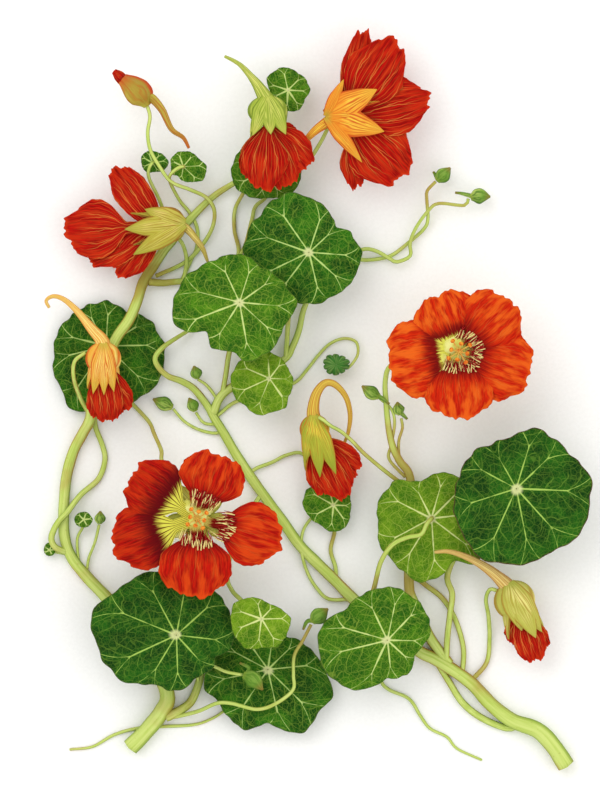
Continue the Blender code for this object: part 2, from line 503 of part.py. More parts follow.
def corolla(name, throat, size, petals, colour=RED):
    """Petals joined at a small throat, each given by its tip, width and a few settings."""
    shapes = [ball(at(*throat), size, turns=8, bands=3)]
    for tip, width, settings in petals:
        out = unit(np.array([tip[0] - throat[0], tip[1] - throat[1]])) * ROOT * size[0] * MM / UNIT
        root = (throat[0] + out[0], throat[1] + out[1], throat[2])
        shapes.append(petal_shape(root, tip, width, **settings))
    return paint(fused(name, shapes), "petal_red", colour)


def stamens(name, middle, reach=5.0, count=5):
    """A bunch of thin stamens with their anthers, spread round the middle of a bloom."""
    x, y, z = middle
    shapes = [ball(at(x, y, z), (1.6, 1.6, 1.1), turns=6, bands=2)]
    for i in range(count):
        turn = 2 * math.pi * (i + 0.3) / count
        spread = (reach if i % 2 else 0.65 * reach) * MM / UNIT
        dx, dy = spread * math.cos(turn), spread * math.sin(turn)
        shapes.append(stalk([(x, y, z), (x + 0.5 * dx, y + 0.5 * dy, z + 2.2), (x + dx, y + dy, z + 4)],
                            (0.5, 0.45, 0.45, 0.8, 0.7), sides=4, step=2.0))
    return paint(fused(name, shapes), "stamen_orange", (0.8, 0.28, 0.03))


UP = (0.0, 0.0, 1.0)


def flowers():
    calyx("flower_1_calyx", (338, 118, 22), (1, 0.0), (7.0, 5.0, 5.6), [
        ((334, 112, 25), (376, 92, 24), 24, UP), ((336, 121, 26), (383.7, 133, 24), 24, UP),
        ((334, 126, 24.5), (361.7, 163.6, 24), 20, UP), ((333, 108, 24), (343.5, 82.3, 24), 20, UP),
        ((334, 116, 26), (366, 116, 25.5), 22, UP)],
        [(333, 120, 22), (322, 127, 21.5), (314, 133, 20), (302, 145, 16.5)], (2.6, 2.0, 1.5, 1.0))
    corolla("flower_1_petals", mouth((338, 118, 20.5), (1, 0), 5.6), (THROAT,) * 3, [
        ((362, 36, 19), 46, dict(bulge=-0.5, ruffle=1.6, phase=0.5)),
        ((393, 40, 20.5), 46, dict(bulge=-0.8, ruffle=1.6, phase=1.5)),
        ((428, 92, 20), 60, dict(bulge=-0.8, ruffle=1.8, phase=2.5)),
        ((396, 186, 20), 62, dict(bulge=-0.8, ruffle=1.8, phase=2.2)),
        ((352, 188, 18.5), 34, dict(bulge=-0.5, ruffle=1.4, phase=1.2))])
    calyx("flower_2_calyx", (268, 114, 22), (0.02, 1), (8.2, 5.2, 7.4), [
        ((258, 118, 25), (255, 138, 25.5), 20, UP), ((268, 119, 26.4), (267, 143, 27), 22, UP),
        ((279, 118, 25), (283, 137, 25.5), 20, UP)],
        [(268, 104, 22), (261, 92, 22.5), (254.4, 82.3, 23), (243, 69, 23), (235, 63, 22.5), (225, 58, 22)],
        (3.6, 2.4, 1.4, 0.9, 0.6))
    corolla("flower_2_petals", mouth((268, 114, 22), (0.02, 1), 7.4), (THROAT,) * 3, [
        ((246, 176, 20.5), 36, dict(bulge=0.4, ruffle=1.4, phase=0.5)),
        ((263, 191, 23.5), 42, dict(bulge=1.4, ruffle=1.6, phase=1.2)),
        ((287, 187, 21.5), 40, dict(bulge=0.8, ruffle=1.6, phase=2.0)),
        ((308, 166, 20.8), 38, dict(bulge=0.5, ruffle=1.4, phase=1.5)),
        ((297, 143, 19.8), 26, dict(bulge=0.2, ruffle=1.0, phase=0.8))])
    calyx("flower_3_calyx", (168.4, 226, 16), (-1, 0.1), (7.4, 5.2, 7.8), [
        ((160, 228, 20), (125.3, 230, 19), 22, UP), ((161, 234, 18.5), (134, 255.4, 18.5), 20, UP),
        ((161, 219, 18.5), (145.4, 210, 19), 20, UP)],
        [(178, 225, 16), (187, 229, 16.5), (195, 238, 17), (203, 249, 17), (208, 262, 16)])
    corolla("flower_3_petals", mouth((168.4, 226, 15.4), (-1, 0.1), 7.8), (THROAT,) * 3, [
        ((68, 226, 15), 62, dict(bulge=-0.6, ruffle=1.8, phase=0.7)),
        ((114.8, 169.5, 15), 34, dict(bulge=-0.6, ruffle=1.4, phase=1.7)),
        ((116, 275, 14), 36, dict(bulge=-0.6, ruffle=1.4, phase=2.3)),
        ((84, 258, 13.5), 46, dict(bulge=-0.6, ruffle=1.6, phase=0.2))])
    calyx("flower_4_calyx", (104.5, 361, 19.5), (0.0, 1), (7.4, 5.6, 8.2), [
        ((97, 366, 23), (93, 395, 23), 20, UP), ((105, 368, 24.4), (105, 397, 24.4), 20, UP),
        ((112, 366, 23), (117, 393, 23), 20, UP)],
        [(105, 350, 19.5), (102, 340, 19.8), (93, 329.6, 20), (78, 311.4, 18.5), (65, 300, 17),
         (54, 296.6, 15.5), (47, 301, 14.5), (50, 308, 14)], (3.4, 2.3, 1.6, 1.2, 0.9, 0.6))
    corolla("flower_4_petals", mouth((104.5, 361, 19), (0, 1), 8.2), (THROAT,) * 3, [
        ((97, 420, 18), 26, dict(bulge=0.3, ruffle=1.0, phase=0.7)),
        ((111, 421, 19.5), 32, dict(bulge=0.5, ruffle=1.2, phase=1.7)),
        ((128, 410, 17.5), 28, dict(bulge=0.2, ruffle=1.0, phase=2.3))])
    calyx("flower_5_calyx", (315, 431, 15.5), (0.1, 1), (6.2, 5.2, 7.2), [
        ((310, 436, 19), (303, 462, 18), 18, UP), ((316, 438, 19.8), (320, 477, 18.5), 20, UP),
        ((322, 436, 18.6), (336, 474, 17.5), 18, UP)],
        [(314, 421, 15.5), (313, 409, 15.5), (316.4, 393.6, 15), (325, 383.3, 14), (335.4, 385, 13),
         (345.7, 397, 11.5), (350, 414, 10.5), (348.3, 431.5, 9.5), (344, 443.5, 9)],
        (3.0, 2.2, 1.6, 1.3, 1.1, 0.9, 0.6))
    corolla("flower_5_petals", mouth((315, 431, 15), (0.1, 1), 7.2), (THROAT,) * 3, [
        ((322, 494, 13), 28, dict(bulge=0.3, ruffle=1.2, phase=0.7)),
        ((345, 497, 12.8), 38, dict(bulge=0.3, ruffle=1.4, phase=1.7)),
        ((358, 472, 12.5), 34, dict(bulge=-0.2, ruffle=1.2, phase=2.3))])
    calyx("flower_6_calyx", (458, 352, 22), (0, 0, 1), (6.4, 6.4, 5.6), [
        ((root_x, root_y, 25.2), (tip_x, tip_y, 28.5), 24, UP) for (root_x, root_y), (tip_x, tip_y)
        in zip(around(458, 352, 6, 5, 0.35), around(458, 352, 42, 5, 0.35))],
        [(458, 352, 19), (468, 345, 14), (482, 337, 10), (500, 330, 7)], (3.2, 2.2, 1.5, 0.9))
    corolla("flower_6_petals", (458, 352, 30), (5.0, 5.0, 1.5), [
        ((440, 295, 35), 66, dict(bulge=2.2, ruffle=1.8, phase=0.5, claw=0.45)),
        ((513, 305, 36), 68, dict(bulge=2.4, ruffle=1.8, phase=1.2, claw=0.45)),
        ((528, 375, 35), 66, dict(bulge=2.2, ruffle=1.8, phase=2.0, claw=0.45)),
        ((458, 418, 37), 66, dict(bulge=2.6, ruffle=1.8, phase=1.6, claw=0.45)),
        ((388, 366, 36), 68, dict(bulge=2.4, ruffle=1.8, phase=0.9, claw=0.45))])
    stamens("flower_6_stamens", (458, 352, 33.2))
    calyx("flower_7_calyx", (198, 517.6, 25.5), (0, 0, 1), (6.0, 6.0, 5.0), [
        ((root_x, root_y, 28), (tip_x, tip_y, 30.8), 24, UP) for (root_x, root_y), (tip_x, tip_y)
        in zip(around(198, 517.6, 5, 5, 0.95), around(198, 517.6, 46, 5, 0.95))],
        [(198, 517.6, 24), (186, 522, 18), (172, 527, 14), (155, 530, 10)], (3.0, 2.2, 1.5, 0.9))
    corolla("flower_7_petals", (198, 517.6, 32.4), (4.4, 4.4, 1.4), [
        ((131, 474, 38), 54, dict(bulge=2.0, ruffle=1.8, phase=0.5, claw=0.3)),
        ((221, 454, 39), 60, dict(bulge=2.2, ruffle=1.8, phase=1.2, claw=0.35)),
        ((115, 544, 38), 56, dict(bulge=2.0, ruffle=1.8, phase=2.0, claw=0.2)),
        ((195, 595, 39), 64, dict(bulge=2.4, ruffle=1.8, phase=1.6, claw=0.2)),
        ((281, 541, 38), 62, dict(bulge=2.2, ruffle=1.8, phase=0.9, claw=0.2))])
    stamens("flower_7_stamens", (198, 517.6, 35.4), 4.4, 5)
    calyx("flower_8_calyx", (515, 602, 13.5), (0.34, 1), (8.6, 5.6, 9.6), [
        ((512, 612, 17), (512, 634, 17), 20, UP), ((520, 611, 18), (530, 636, 18), 22, UP),
        ((528, 606, 17), (543, 628, 17), 22, UP)],
        [(511, 592, 13.5), (503, 582, 14.2), (487.5, 568.7, 17), (468.4, 557.5, 19.6), (449, 551, 20.4),
         (434, 551.5, 20.2)], (3.8, 2.4, 1.6, 1.1, 0.6))
    corolla("flower_8_petals", mouth((515, 602, 13.2), (0.34, 1), 9.6), (THROAT,) * 3, [
        ((513, 645, 11.5), 20, dict(bulge=0.2, ruffle=0.8, phase=0.7)),
        ((532, 659, 13), 28, dict(bulge=0.5, ruffle=1.0, phase=1.7)),
        ((545, 650, 11.5), 24, dict(bulge=0.2, ruffle=0.8, phase=2.3))])
    shapes = [pod_shape([(148, 107, 18), (142, 98, 18), (132, 88, 18), (123, 80.5, 18)],
                        (1.0, 4.2, 5.6, 5.2, 3.2), sides=8, step=4.0),
              stalk([(146, 100, 18), (152, 99, 18.4), (162.6, 111, 18.6), (172, 130, 18), (183.7, 138.7, 17.4),
                     (189.4, 149, 16.8)], (2.0, 1.5, 1.1, 0.6), sides=5, step=6.0)]
    paint(fused("flower_9_calyx", shapes), "calyx_yellow", YELLOW)
    shapes = [pod_shape([(121.6, 79.2, 18), (118, 75.5, 18), (114.8, 72.7, 18)], (2.8, 2.3, 0.8), step=1.6)]
    paint(fused("flower_9_petals", shapes), "petal_red", RED)


def around(x, y, reach, count, turn):
    """Plan points evenly round a middle."""
    steps = [turn + 2 * math.pi * i / count for i in range(count)]
    return [(x + reach * math.cos(a), y - reach * math.sin(a)) for a in steps]


BUDS = [
    ("bud_01", [(436.5, 181, 7.2), (443, 175, 7.4), (450, 168, 7.4)], 3.2, [(438, 180, 7.2), (433, 172, 7.2)]),
    ("bud_02", [(470.5, 197.5, 7.2), (479, 196, 7.4), (490, 197, 7.4)], 3.4, [(473, 197, 7.2), (462, 194, 7), (455, 193, 6.6)]),
    ("bud_03", [(197.5, 378.5, 5.4), (196, 373, 6), (194, 366, 6.4)], 2.6, []),
    ("bud_04", [(172.5, 407.5, 3.4), (164, 404, 3.6), (153, 399, 3.6)], 3.1, []),
    ("bud_05", [(195.5, 411, 4), (192.5, 405, 4.4), (189, 398, 4.6)], 2.6, []),
    ("bud_06", [(379, 397, 13.5), (371, 393, 13.8), (361.7, 386, 14)], 3.0, [(378, 396, 13.8), (383, 399, 15.2), (389, 404, 16)]),
    ("bud_07", [(400, 414.5, 13.4), (398, 409, 14), (397, 402, 14.4)], 2.6, [(400, 412, 13.6), (407, 419, 13)]),
    ("bud_08", [(312, 621, 13.4), (318, 615.6, 14), (327.8, 608, 14)], 3.6, [(313, 620, 13.2), (307, 621, 13.6), (303, 629, 14.4)]),
    ("bud_09", [(243.7, 674, 13.4), (253, 678, 14), (262.8, 689, 14.4)], 3.6, [(246, 674, 13.6), (249, 667, 13.8), (240, 662, 14)]),
    ("bud_10", [(99.5, 523.5, 5), (100, 518.5, 5.4), (100.5, 511, 5.6)], 2.4, []),
]


def buds():
    for name, rows, wide, spur in BUDS:
        profile = (0.35 * wide, 0.9 * wide, wide, 0.62 * wide, 0.3)
        shapes = [pod_shape(rows, profile, sides=7, step=2.4)]
        if spur:
            shapes.append(stalk(spur, (1.0, 0.8, 0.5), sides=5, step=4.0))
        paint(fused(name, shapes), "bud_green", LIGHT)
    x, y, z = 336, 365, 7.2
    shapes = [ball(at(px, py, z), (3.4, 3.4, 3.2), turns=7, bands=3)
              for px, py in around(x, y, 5.0, 3, 0.5)]
    paint(fused("seed_pod", shapes), "bud_green", LIGHT)


for leaf_name, middle, height, tint, shape in LEAVES:
    leaf(leaf_name, middle, height, tint=tint, **shape)
flowers()
buds()
stem_left()
stem_right()
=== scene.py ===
import math

import bpy
import numpy as np
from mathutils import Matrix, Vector


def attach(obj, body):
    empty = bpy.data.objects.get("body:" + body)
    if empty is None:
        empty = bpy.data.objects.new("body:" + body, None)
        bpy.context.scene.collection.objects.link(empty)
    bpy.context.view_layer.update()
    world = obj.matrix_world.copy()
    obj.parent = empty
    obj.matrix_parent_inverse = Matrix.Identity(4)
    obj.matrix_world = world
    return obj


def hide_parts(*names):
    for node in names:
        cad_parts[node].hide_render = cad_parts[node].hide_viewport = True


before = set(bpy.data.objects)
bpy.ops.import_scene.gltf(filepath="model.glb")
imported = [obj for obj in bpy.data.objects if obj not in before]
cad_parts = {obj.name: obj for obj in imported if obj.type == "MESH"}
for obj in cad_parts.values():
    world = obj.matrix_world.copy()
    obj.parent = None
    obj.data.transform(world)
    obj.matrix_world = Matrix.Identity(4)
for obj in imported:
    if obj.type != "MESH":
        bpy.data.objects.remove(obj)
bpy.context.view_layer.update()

# The plan is in drawing units, counted right and down; heights are in millimetres. bladeCad is the
# thickness of a leaf in the solids, leafGap and seatGap their gaps, throatSize a closed throat's radius.
drawUnit = 0.42e-3
planCentre = (316.5, 404.1)
mm = 1e-3
twoPi = 2 * math.pi
bladeCad = 0.85
leafGap = 0.45
seatGap = 0.3
throatSize = 1.5

chance = np.random.default_rng(7)


# A plan point and a height as metres.
def place(x, y, z):
    return np.array([(x - planCentre[0]) * drawUnit, (planCentre[1] - y) * drawUnit, z * mm])


# A direction of length one.
def unit(vector):
    return vector / np.linalg.norm(vector)


# Axes turned about the vertical.
def turned(turn):
    return (math.cos(turn), math.sin(turn), 0), (-math.sin(turn), math.cos(turn), 0), (0, 0, 1)


# Catmull-Rom: each stretch is the cubic through four neighbouring points.
def curveThrough(points, step):
    points = np.asarray(points, float)
    ends = np.vstack([2 * points[0] - points[1], points, 2 * points[-1] - points[-2]])
    made = []
    for a, b, c, d in zip(ends, ends[1:], ends[2:], ends[3:]):
        count = max(1, int(round(np.linalg.norm(c - b) / step)))
        t = (np.arange(count) / count)[:, None]
        made.append(0.5 * (2 * b + (c - a) * t + (2 * a - 5 * b + 4 * c - d) * t ** 2
                           + (3 * b - a - 3 * c + d) * t ** 3))
    return np.vstack(made + [points[-1:]])


# The length run at each point of a path.
def runAlong(path):
    return np.concatenate([[0], np.cumsum(np.linalg.norm(np.diff(path, axis=0), axis=1))])


# Quads over a grid of rows by columns, with each corner's row and column share for its UV.
def gridQuads(rows, columns, closed):
    spans = columns if closed else columns - 1
    i, j = np.meshgrid(np.arange(rows - 1), np.arange(spans), indexing="ij")
    i, j = i.ravel(), j.ravel()
    corners = [(i, j), (i, j + 1), (i + 1, j + 1), (i + 1, j)]
    quads = np.stack([a * columns + b % columns for a, b in corners], axis=1)
    uv = np.stack([np.stack([b / spans, a / (rows - 1)], axis=1) for a, b in corners], axis=1)
    return quads, uv


# A part is points, quads, a UV for each quad corner, and one tone number for each point.
def gridPart(grid, tone=None):
    rows, columns = grid.shape[:2]
    quads, uv = gridQuads(rows, columns, True)
    shade = np.zeros(rows * columns) if tone is None else np.asarray(tone, float).ravel()
    return grid.reshape(-1, 3), quads, uv, shade


# A closed skin: the upper grid, the lower grid turned over, and quads round the rim.
def skinPart(upper, lower, closed, tone):
    rows, columns = upper.shape[:2]
    quads, uv = gridQuads(rows, columns, closed)
    count = rows * columns
    if closed:
        edge = [np.arange(columns) + (rows - 1) * columns, np.arange(columns)[::-1]]
        loops = [np.append(e, e[0]) for e in edge]
    else:
        i, j = np.arange(rows), np.arange(columns)
        ring = np.concatenate([j[:-1], i[:-1] * columns + columns - 1,
                               (rows - 1) * columns + j[:0:-1], i[:0:-1] * columns])
        loops = [np.append(ring, ring[0])[::-1]]
    pointUv = np.stack([np.tile(np.arange(columns) / (columns - 1), rows),
                        np.repeat(np.arange(rows) / (rows - 1), columns)], axis=1)
    sides, sideUv = [], []
    for loop in loops:
        a, b = loop[:-1], loop[1:]
        quad = np.stack([a, a + count, b + count, b], axis=1)
        sides.append(quad)
        sideUv.append(pointUv[quad % count])
    points = np.vstack([upper.reshape(-1, 3), lower.reshape(-1, 3)])
    quads = np.vstack([quads, quads[:, ::-1] + count] + sides)
    uv = np.concatenate([uv, uv[:, ::-1]] + sideUv)
    return points, quads, uv, np.tile(np.asarray(tone, float).ravel(), 2)


# One mesh from many parts, with faces turned outwards by each part's signed volume.
def makePiece(name, parts, material, node):
    points, quads, uvs, tones, base = [], [], [], [], 0
    for partPoints, partQuads, partUv, tone in parts:
        a, b, c, d = (partPoints[partQuads[:, k]] for k in range(4))
        if (np.cross(a, b) * c).sum() + (np.cross(a, c) * d).sum() < 0:
            partQuads, partUv = partQuads[:, ::-1], partUv[:, ::-1]
        points.append(partPoints)
        quads.append(partQuads + base)
        uvs.append(partUv)
        tones.append(tone)
        base += len(partPoints)
    points, quads, uvs = np.vstack(points), np.vstack(quads), np.concatenate(uvs)
    mesh = bpy.data.meshes.new(name)
    mesh.vertices.add(len(points))
    mesh.vertices.foreach_set("co", points.astype(np.float32).ravel())
    mesh.loops.add(quads.size)
    mesh.loops.foreach_set("vertex_index", quads.astype(np.int32).ravel())
    mesh.polygons.add(len(quads))
    mesh.polygons.foreach_set("loop_start", np.arange(0, quads.size, 4, dtype=np.int32))
    mesh.update(calc_edges=True)
    mesh.uv_layers.new(name="UVMap").data.foreach_set("uv", uvs.astype(np.float32).ravel())
    tones = np.concatenate(tones).astype(np.float32)
    mesh.attributes.new("tone", "FLOAT", "POINT").data.foreach_set("value", tones)
    mesh.shade_smooth()
    mesh.materials.append(material)
    obj = bpy.data.objects.new(name, mesh)
    bpy.context.scene.collection.objects.link(obj)
    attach(obj, "root")
    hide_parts(node)


# Rings carried along a path. Each ring is turned as little as possible from the one before. rib adds
# a share of the radius as a wave of ribs round the tube, and the ends close to a point. Tone is 1
# along the top and the underside and 0 on the flanks; the stem and spur skins paint shade on the flanks by
# it.
def tubePart(path, radii, sides=12, ribs=0, rib=0.0):
    ahead = np.gradient(path, axis=0)
    ahead /= np.linalg.norm(ahead, axis=1)[:, None]
    side = np.cross(ahead[0], (0, 0, 1.0))
    side = unit(side if np.linalg.norm(side) > 0.1 else np.cross(ahead[0], (1.0, 0, 0)))
    frames = []
    for direction in ahead:
        side = unit(side - direction * (side @ direction))
        frames.append(side)
    side = np.array(frames)
    up = np.cross(side, ahead)
    first = path[:1] - ahead[:1] * radii[0] * 0.2
    last = path[-1:] + ahead[-1:] * radii[-1] * 0.2
    path = np.vstack([first, path, last])
    side, up = (np.vstack([f[:1], f, f[-1:]]) for f in (side, up))
    radii = np.concatenate([[radii[0] * 0.02], radii, [radii[-1] * 0.02]])
    turn = np.arange(sides) * twoPi / sides
    radius = radii[:, None] * (1 + rib * np.cos(ribs * turn))[None, :]
    grid = (path[:, None] + radius[..., None] * (np.cos(turn)[None, :, None] * side[:, None]
                                                 + np.sin(turn)[None, :, None] * up[:, None]))
    crown = np.abs(grid[..., 2] - path[:, None, 2]) / np.maximum(radii[:, None], 1e-9)
    return gridPart(grid, np.clip(crown, 0, 1))


# A stem along plan rows, with radii in millimetres spread evenly over its length. knobs swell and
# thin it along the way, and no ring dips below the ground.
def stalkPart(rows, thick, sides=12, step=1.5, ribs=0, rib=0.0, knobs=0.0):
    path = curveThrough([place(*row) for row in rows], step * mm)
    run = runAlong(path)
    radii = np.interp(run / run[-1], np.linspace(0, 1, len(thick)), thick) * mm
    radii *= 1 + knobs * np.sin(run / (6 * mm)) * np.sin(run / (2.3 * mm) + 1)
    path[:, 2] = np.maximum(path[:, 2], (1 + rib) * radii)
    return tubePart(path, radii, sides, ribs, rib)


# The frame of a blade: its start, its length, and the unit directions ahead, across and out.
def bladeFrame(base, tip, facing=(0, 0, 1)):
    start, end = place(*base), place(*tip)
    length = np.linalg.norm(end - start)
    ahead = (end - start) / length
    across = unit(np.cross(np.asarray(facing, float), ahead))
    return start, length, ahead, across, np.cross(ahead, across)


# A closed skin round a blade's middle sheet. Tone is a seed number plus the half width over 4 cm.
def bladeSkin(shape, reach, wide, rise, thick, seed):
    start, _, ahead, across, out = shape
    middle = start + reach[..., None] * ahead + wide[..., None] * across + rise[..., None] * mm * out
    shift = 0.5 * thick * mm * out
    half = np.abs(wide).max(axis=1, keepdims=True) * 100 / 4
    return skinPart(middle + shift, middle - shift, False, seed + np.clip(half, 0.01, 0.95) + 0 * rise)


# A petal: u runs from claw to tip and v from side to side. Half width: the claw's up to the foot
# share, then a sine that is widest from the full share on, less the taper. Outline: shorter at the
# sides by droop, times a sum of four cosines that makes it ragged. Height in millimetres: bulge and
# ruffle, four sizes of lengthwise fold, and a frill at the rim.
def petalPart(base, tip, width, bulge=3.0, claw=0.34, ruffle=1.0, waves=3.0, phase=0.0, rows=42, columns=52,
              thick=0.4, frill=0.5, droop=0.2, foot=0.0, full=0.62, taper=0.14):
    own = np.random.default_rng(int(tip[0] * 31 + tip[1] * 17))
    turns = own.uniform(0, twoPi, 12)
    shape = bladeFrame(base, tip)
    u = np.linspace(0, 1, rows)[:, None] ** 0.9
    v = np.linspace(-1, 1, columns)[None, :]
    half = claw + (1 - claw) * np.sin(0.5 * np.pi * np.clip((u - foot) / (full - foot), 0, 1))
    half = half * (1 - taper * np.clip((u - 0.7) / 0.3, 0, 1) ** 2)
    half = half * (1 + u * (0.02 * np.sin(17 * u + turns[0]) + 0.014 * np.sin(41 * u + turns[1])))
    ragged = sum(a * np.cos(f * v + t)
                 for a, f, t in zip((0.022, 0.018, 0.012, 0.007), (5, 9, 17, 31), turns[2:6]))
    reach = shape[1] * u * (1 - droop * np.abs(v) ** 2.8 * u ** 2) * (1 + ragged * u ** 5)
    wide = 0.5 * width * drawUnit * half * v
    rise = bulge * np.sin(np.pi * u) * (1 - 0.4 * v ** 2)
    rise = rise + ruffle * u ** 2 * np.sin(waves * v + phase) * np.abs(v)
    folds = sum(a * np.cos(f * v + f * 0.12 * np.sin(5 * u + t) + t)
                for a, f, t in zip((0.45, 0.12, 0.07, 0.04), (3.3, 8, 17, 31), turns[6:10]))
    rise = rise + folds * u ** 0.7 * (1.15 - u)
    rise = rise + frill * u ** 6 * np.sin(15 * v + 2 * np.sin(6 * v + turns[10]) + turns[11])
    return bladeSkin(shape, reach, wide, rise, thick, own.integers(0, 9))


# A sepal: a lance that widens from its foot and closes to a point. It arches over the calyx
# egg, its sides wrap down, and a rib runs along its middle.
def sepalPart(base, tip, width, arch, wrap=1.4, facing=(0, 0, 1), foot=0.45, rows=36, columns=19, thick=0.5):
    own = np.random.default_rng(int(tip[0] * 13 + tip[1] * 7))
    shape = bladeFrame(base, tip, facing)
    u = np.linspace(0, 1, rows)[:, None]
    v = np.linspace(-1, 1, columns)[None, :]
    grow = foot + (1 - foot) * np.sin(0.5 * np.pi * np.clip(u / 0.45, 0, 1))
    half = grow * np.maximum(1 - np.clip((u - 0.34) / 0.66, 0, 1) ** 1.8, 0.0) + 0.02
    half = half * (1 + 0.02 * np.sin(19 * u + own.uniform(0, 6)))
    reach = shape[1] * u + 0 * v
    wide = 0.5 * width * drawUnit * half * v
    rise = arch * np.sin(np.pi * u ** 0.8) - wrap * v ** 2 * np.sin(np.pi * np.clip(u * 1.1, 0, 1) ** 0.8)
    rise = rise + 0.28 * np.exp(-(v / 0.14) ** 2) * (1 - u) + 0.12 * np.cos(9 * v) * np.sin(np.pi * u)
    return bladeSkin(shape, reach, wide, rise, thick, own.integers(0, 9))


# Latitudes by longitudes on a ball, a hair short of its poles.
def ballAngles(turns, bands):
    lat = np.linspace(-np.pi / 2 * 0.995, np.pi / 2 * 0.995, bands)[:, None]
    return lat, (np.arange(turns) * twoPi / turns)[None, :]


# A ball whose round sections swell and whose height is given, as points of about unit size.
def ballPoints(lat, lon, swell, high):
    east, north = np.cos(lat) * np.cos(lon) * swell, np.cos(lat) * np.sin(lon) * swell
    return np.stack([east, north, high + 0 * lon], axis=2)


# An egg whose half sizes are in millimetres along the given axes; ribs add lengthwise folds.
def eggPart(centre, sizes, axes=((1, 0, 0), (0, 1, 0), (0, 0, 1)), turns=40, bands=26, ribs=0, rib=0.0):
    lat, lon = ballAngles(turns, bands)
    swell = 1 + rib * np.cos(ribs * lon) * np.cos(lat)
    local = ballPoints(lat, lon, swell, np.sin(lat)) * np.asarray(sizes) * mm
    return gridPart(np.asarray(centre) + local @ np.array([unit(row) for row in axes]))


# Leaves: the middle, height and reach of the rim at even angles from the right, with further
# (degrees, reach) pairs in extra; dish and wave are the rim's rise and ripple in millimetres.
leaves = {
    "leaf_01": dict(at=(288, 91), height=14, tint="mid", reach=(22, 21, 19.5, 22.5, 23.5, 24.5, 18, 17,
        20, 21, 23, 19), lobes=5, wave=0.5, dish=-0.5),
    "leaf_02": dict(at=(153, 163.6), height=12, tint="dark", reach=(16, 14, 12, 12, 13, 13, 11, 11, 11, 9,
        10, 14), lobes=4, wave=0.4, dish=-0.6),
    "leaf_03": dict(at=(183.7, 167.4), height=14, tint="mid", reach=(23, 17, 16.5, 15.4, 15.5, 14.5, 12,
        14, 10.5, 14.5, 17.5, 24.5), lobes=5, wave=0.4, dish=-0.6),
    "leaf_04": dict(at=(265, 172), height=12, tint="mid", reach=(36, 35, 33, 33, 34, 32, 34, 33, 30, 26,
        30, 36), lobes=6, wave=1.0, dish=0.3),
    "leaf_05": dict(at=(309, 253), height=20, tint="dark", reach=(52, 45, 44, 55, 62, 63, 66, 58, 52, 52,
        50, 52), extra=((43, 36), (108, 64)), lobes=7, wave=1.1, dish=-0.8),
    "leaf_06": dict(at=(240, 303), height=30, tint="light", reach=(57, 46, 41, 49, 48, 58, 66, 60, 53, 58,
        58, 50), extra=((195, 70), (221, 43), (265, 49), (276, 59)), lobes=7, wave=1.2, dish=-0.8),
    "leaf_07": dict(at=(269.6, 378.5), height=18, tint="light", reach=(23, 21, 23, 26, 28, 34, 39, 39,
        36.5, 34, 33.5, 25.6), extra=((255, 39), (315, 26)), lobes=6, wave=0.9, dish=-0.6),
    "leaf_08": dict(at=(106, 346), height=4.2, tint="dark", reach=(58, 51, 40, 45, 44, 48, 52, 61, 72, 66,
        62, 64), extra=((195, 53), (225, 61)), lobes=8, wave=0.7, dish=0.7),
    "leaf_09": dict(at=(333.5, 505), height=7, tint="mid", reach=(17, 19, 21, 20, 24, 31, 31, 26, 24, 27,
        25, 19), lobes=5, wave=0.6, dish=0.3),
    "leaf_10": dict(at=(431, 518), height=16, tint="light", reach=(45, 48, 50, 44, 42, 52, 53, 58, 58, 62,
        47, 58), extra=((105, 38), (135, 55), (165, 57), (255, 66), (315, 66)), lobes=7, wave=1.2,
        dish=-0.8),
    "leaf_11": dict(at=(515, 488), height=28, tint="dark", reach=(72, 64, 63, 53.5, 49, 56, 60.5, 68, 77,
        76.6, 72, 79), extra=((8, 77), (45, 62), (75, 63), (135, 57)), lobes=8, wave=1.2, dish=-1.0),
    "leaf_12": dict(at=(387, 639), height=22, tint="mid", reach=(38, 47, 50, 53.7, 51, 54, 69.5, 69, 57,
        38, 40, 31), extra=((10, 44.6), (165, 67), (225, 65), (250, 50), (315, 36)), lobes=7, wave=1.2,
        dish=-0.6),
    "leaf_13": dict(at=(177, 634), height=22, tint="dark", reach=(57.5, 58, 58, 64, 69, 77, 82.5, 73, 54,
        56, 46, 45), extra=((167, 89), (195, 78), (222, 72), (315, 50), (345, 55.5)), lobes=9, wave=1.2,
        dish=-0.6),
    "leaf_14": dict(at=(261.8, 617.5), height=30, tint="light", reach=(29, 21, 16.5, 19, 24.5, 31.5, 30.5,
        31, 34, 28, 32, 29.5), lobes=6, wave=0.8, dish=-0.6),
    "leaf_15": dict(at=(268, 669), height=8, tint="dark", reach=(56, 46, 38, 40, 45, 52, 62, 60, 62, 52,
        74, 70), extra=((195, 67), (250, 66), (340, 71), (322, 64)), lobes=8, wave=1.2, dish=0.4),
    "leaf_16": dict(at=(84, 519.5), height=6, tint="mid", reach=(9, 8, 8, 8, 8, 9, 9.5, 9, 8, 8, 8, 8.5),
        lobes=3, wave=0.3, dish=0.5),
    "leaf_17": dict(at=(49.7, 550), height=3, tint="mid", reach=(6, 6, 7, 8, 7, 6, 5.7, 5.7, 6, 6, 6, 6),
        lobes=3, wave=0.2, dish=0.1),
}


# The last two rows of a leaf stalk that ends just below the middle of its blade.
def below(name, drop=2.4):
    x, y = leaves[name]["at"]
    low = leaves[name]["height"] - bladeCad - leafGap
    return [(x, y, low - drop), (x, y, low)]


# The same rows for a stalk that is listed from its leaf on.
def under(name, drop=2.4):
    return below(name, drop)[::-1]


# The first two rows of a leaf stalk that comes down onto a blade seen from its back.
def above(name, lift=2.0):
    x, y = leaves[name]["at"]
    high = leaves[name]["height"] + leafGap
    return [(x, y, high), (x, y, high + lift)]


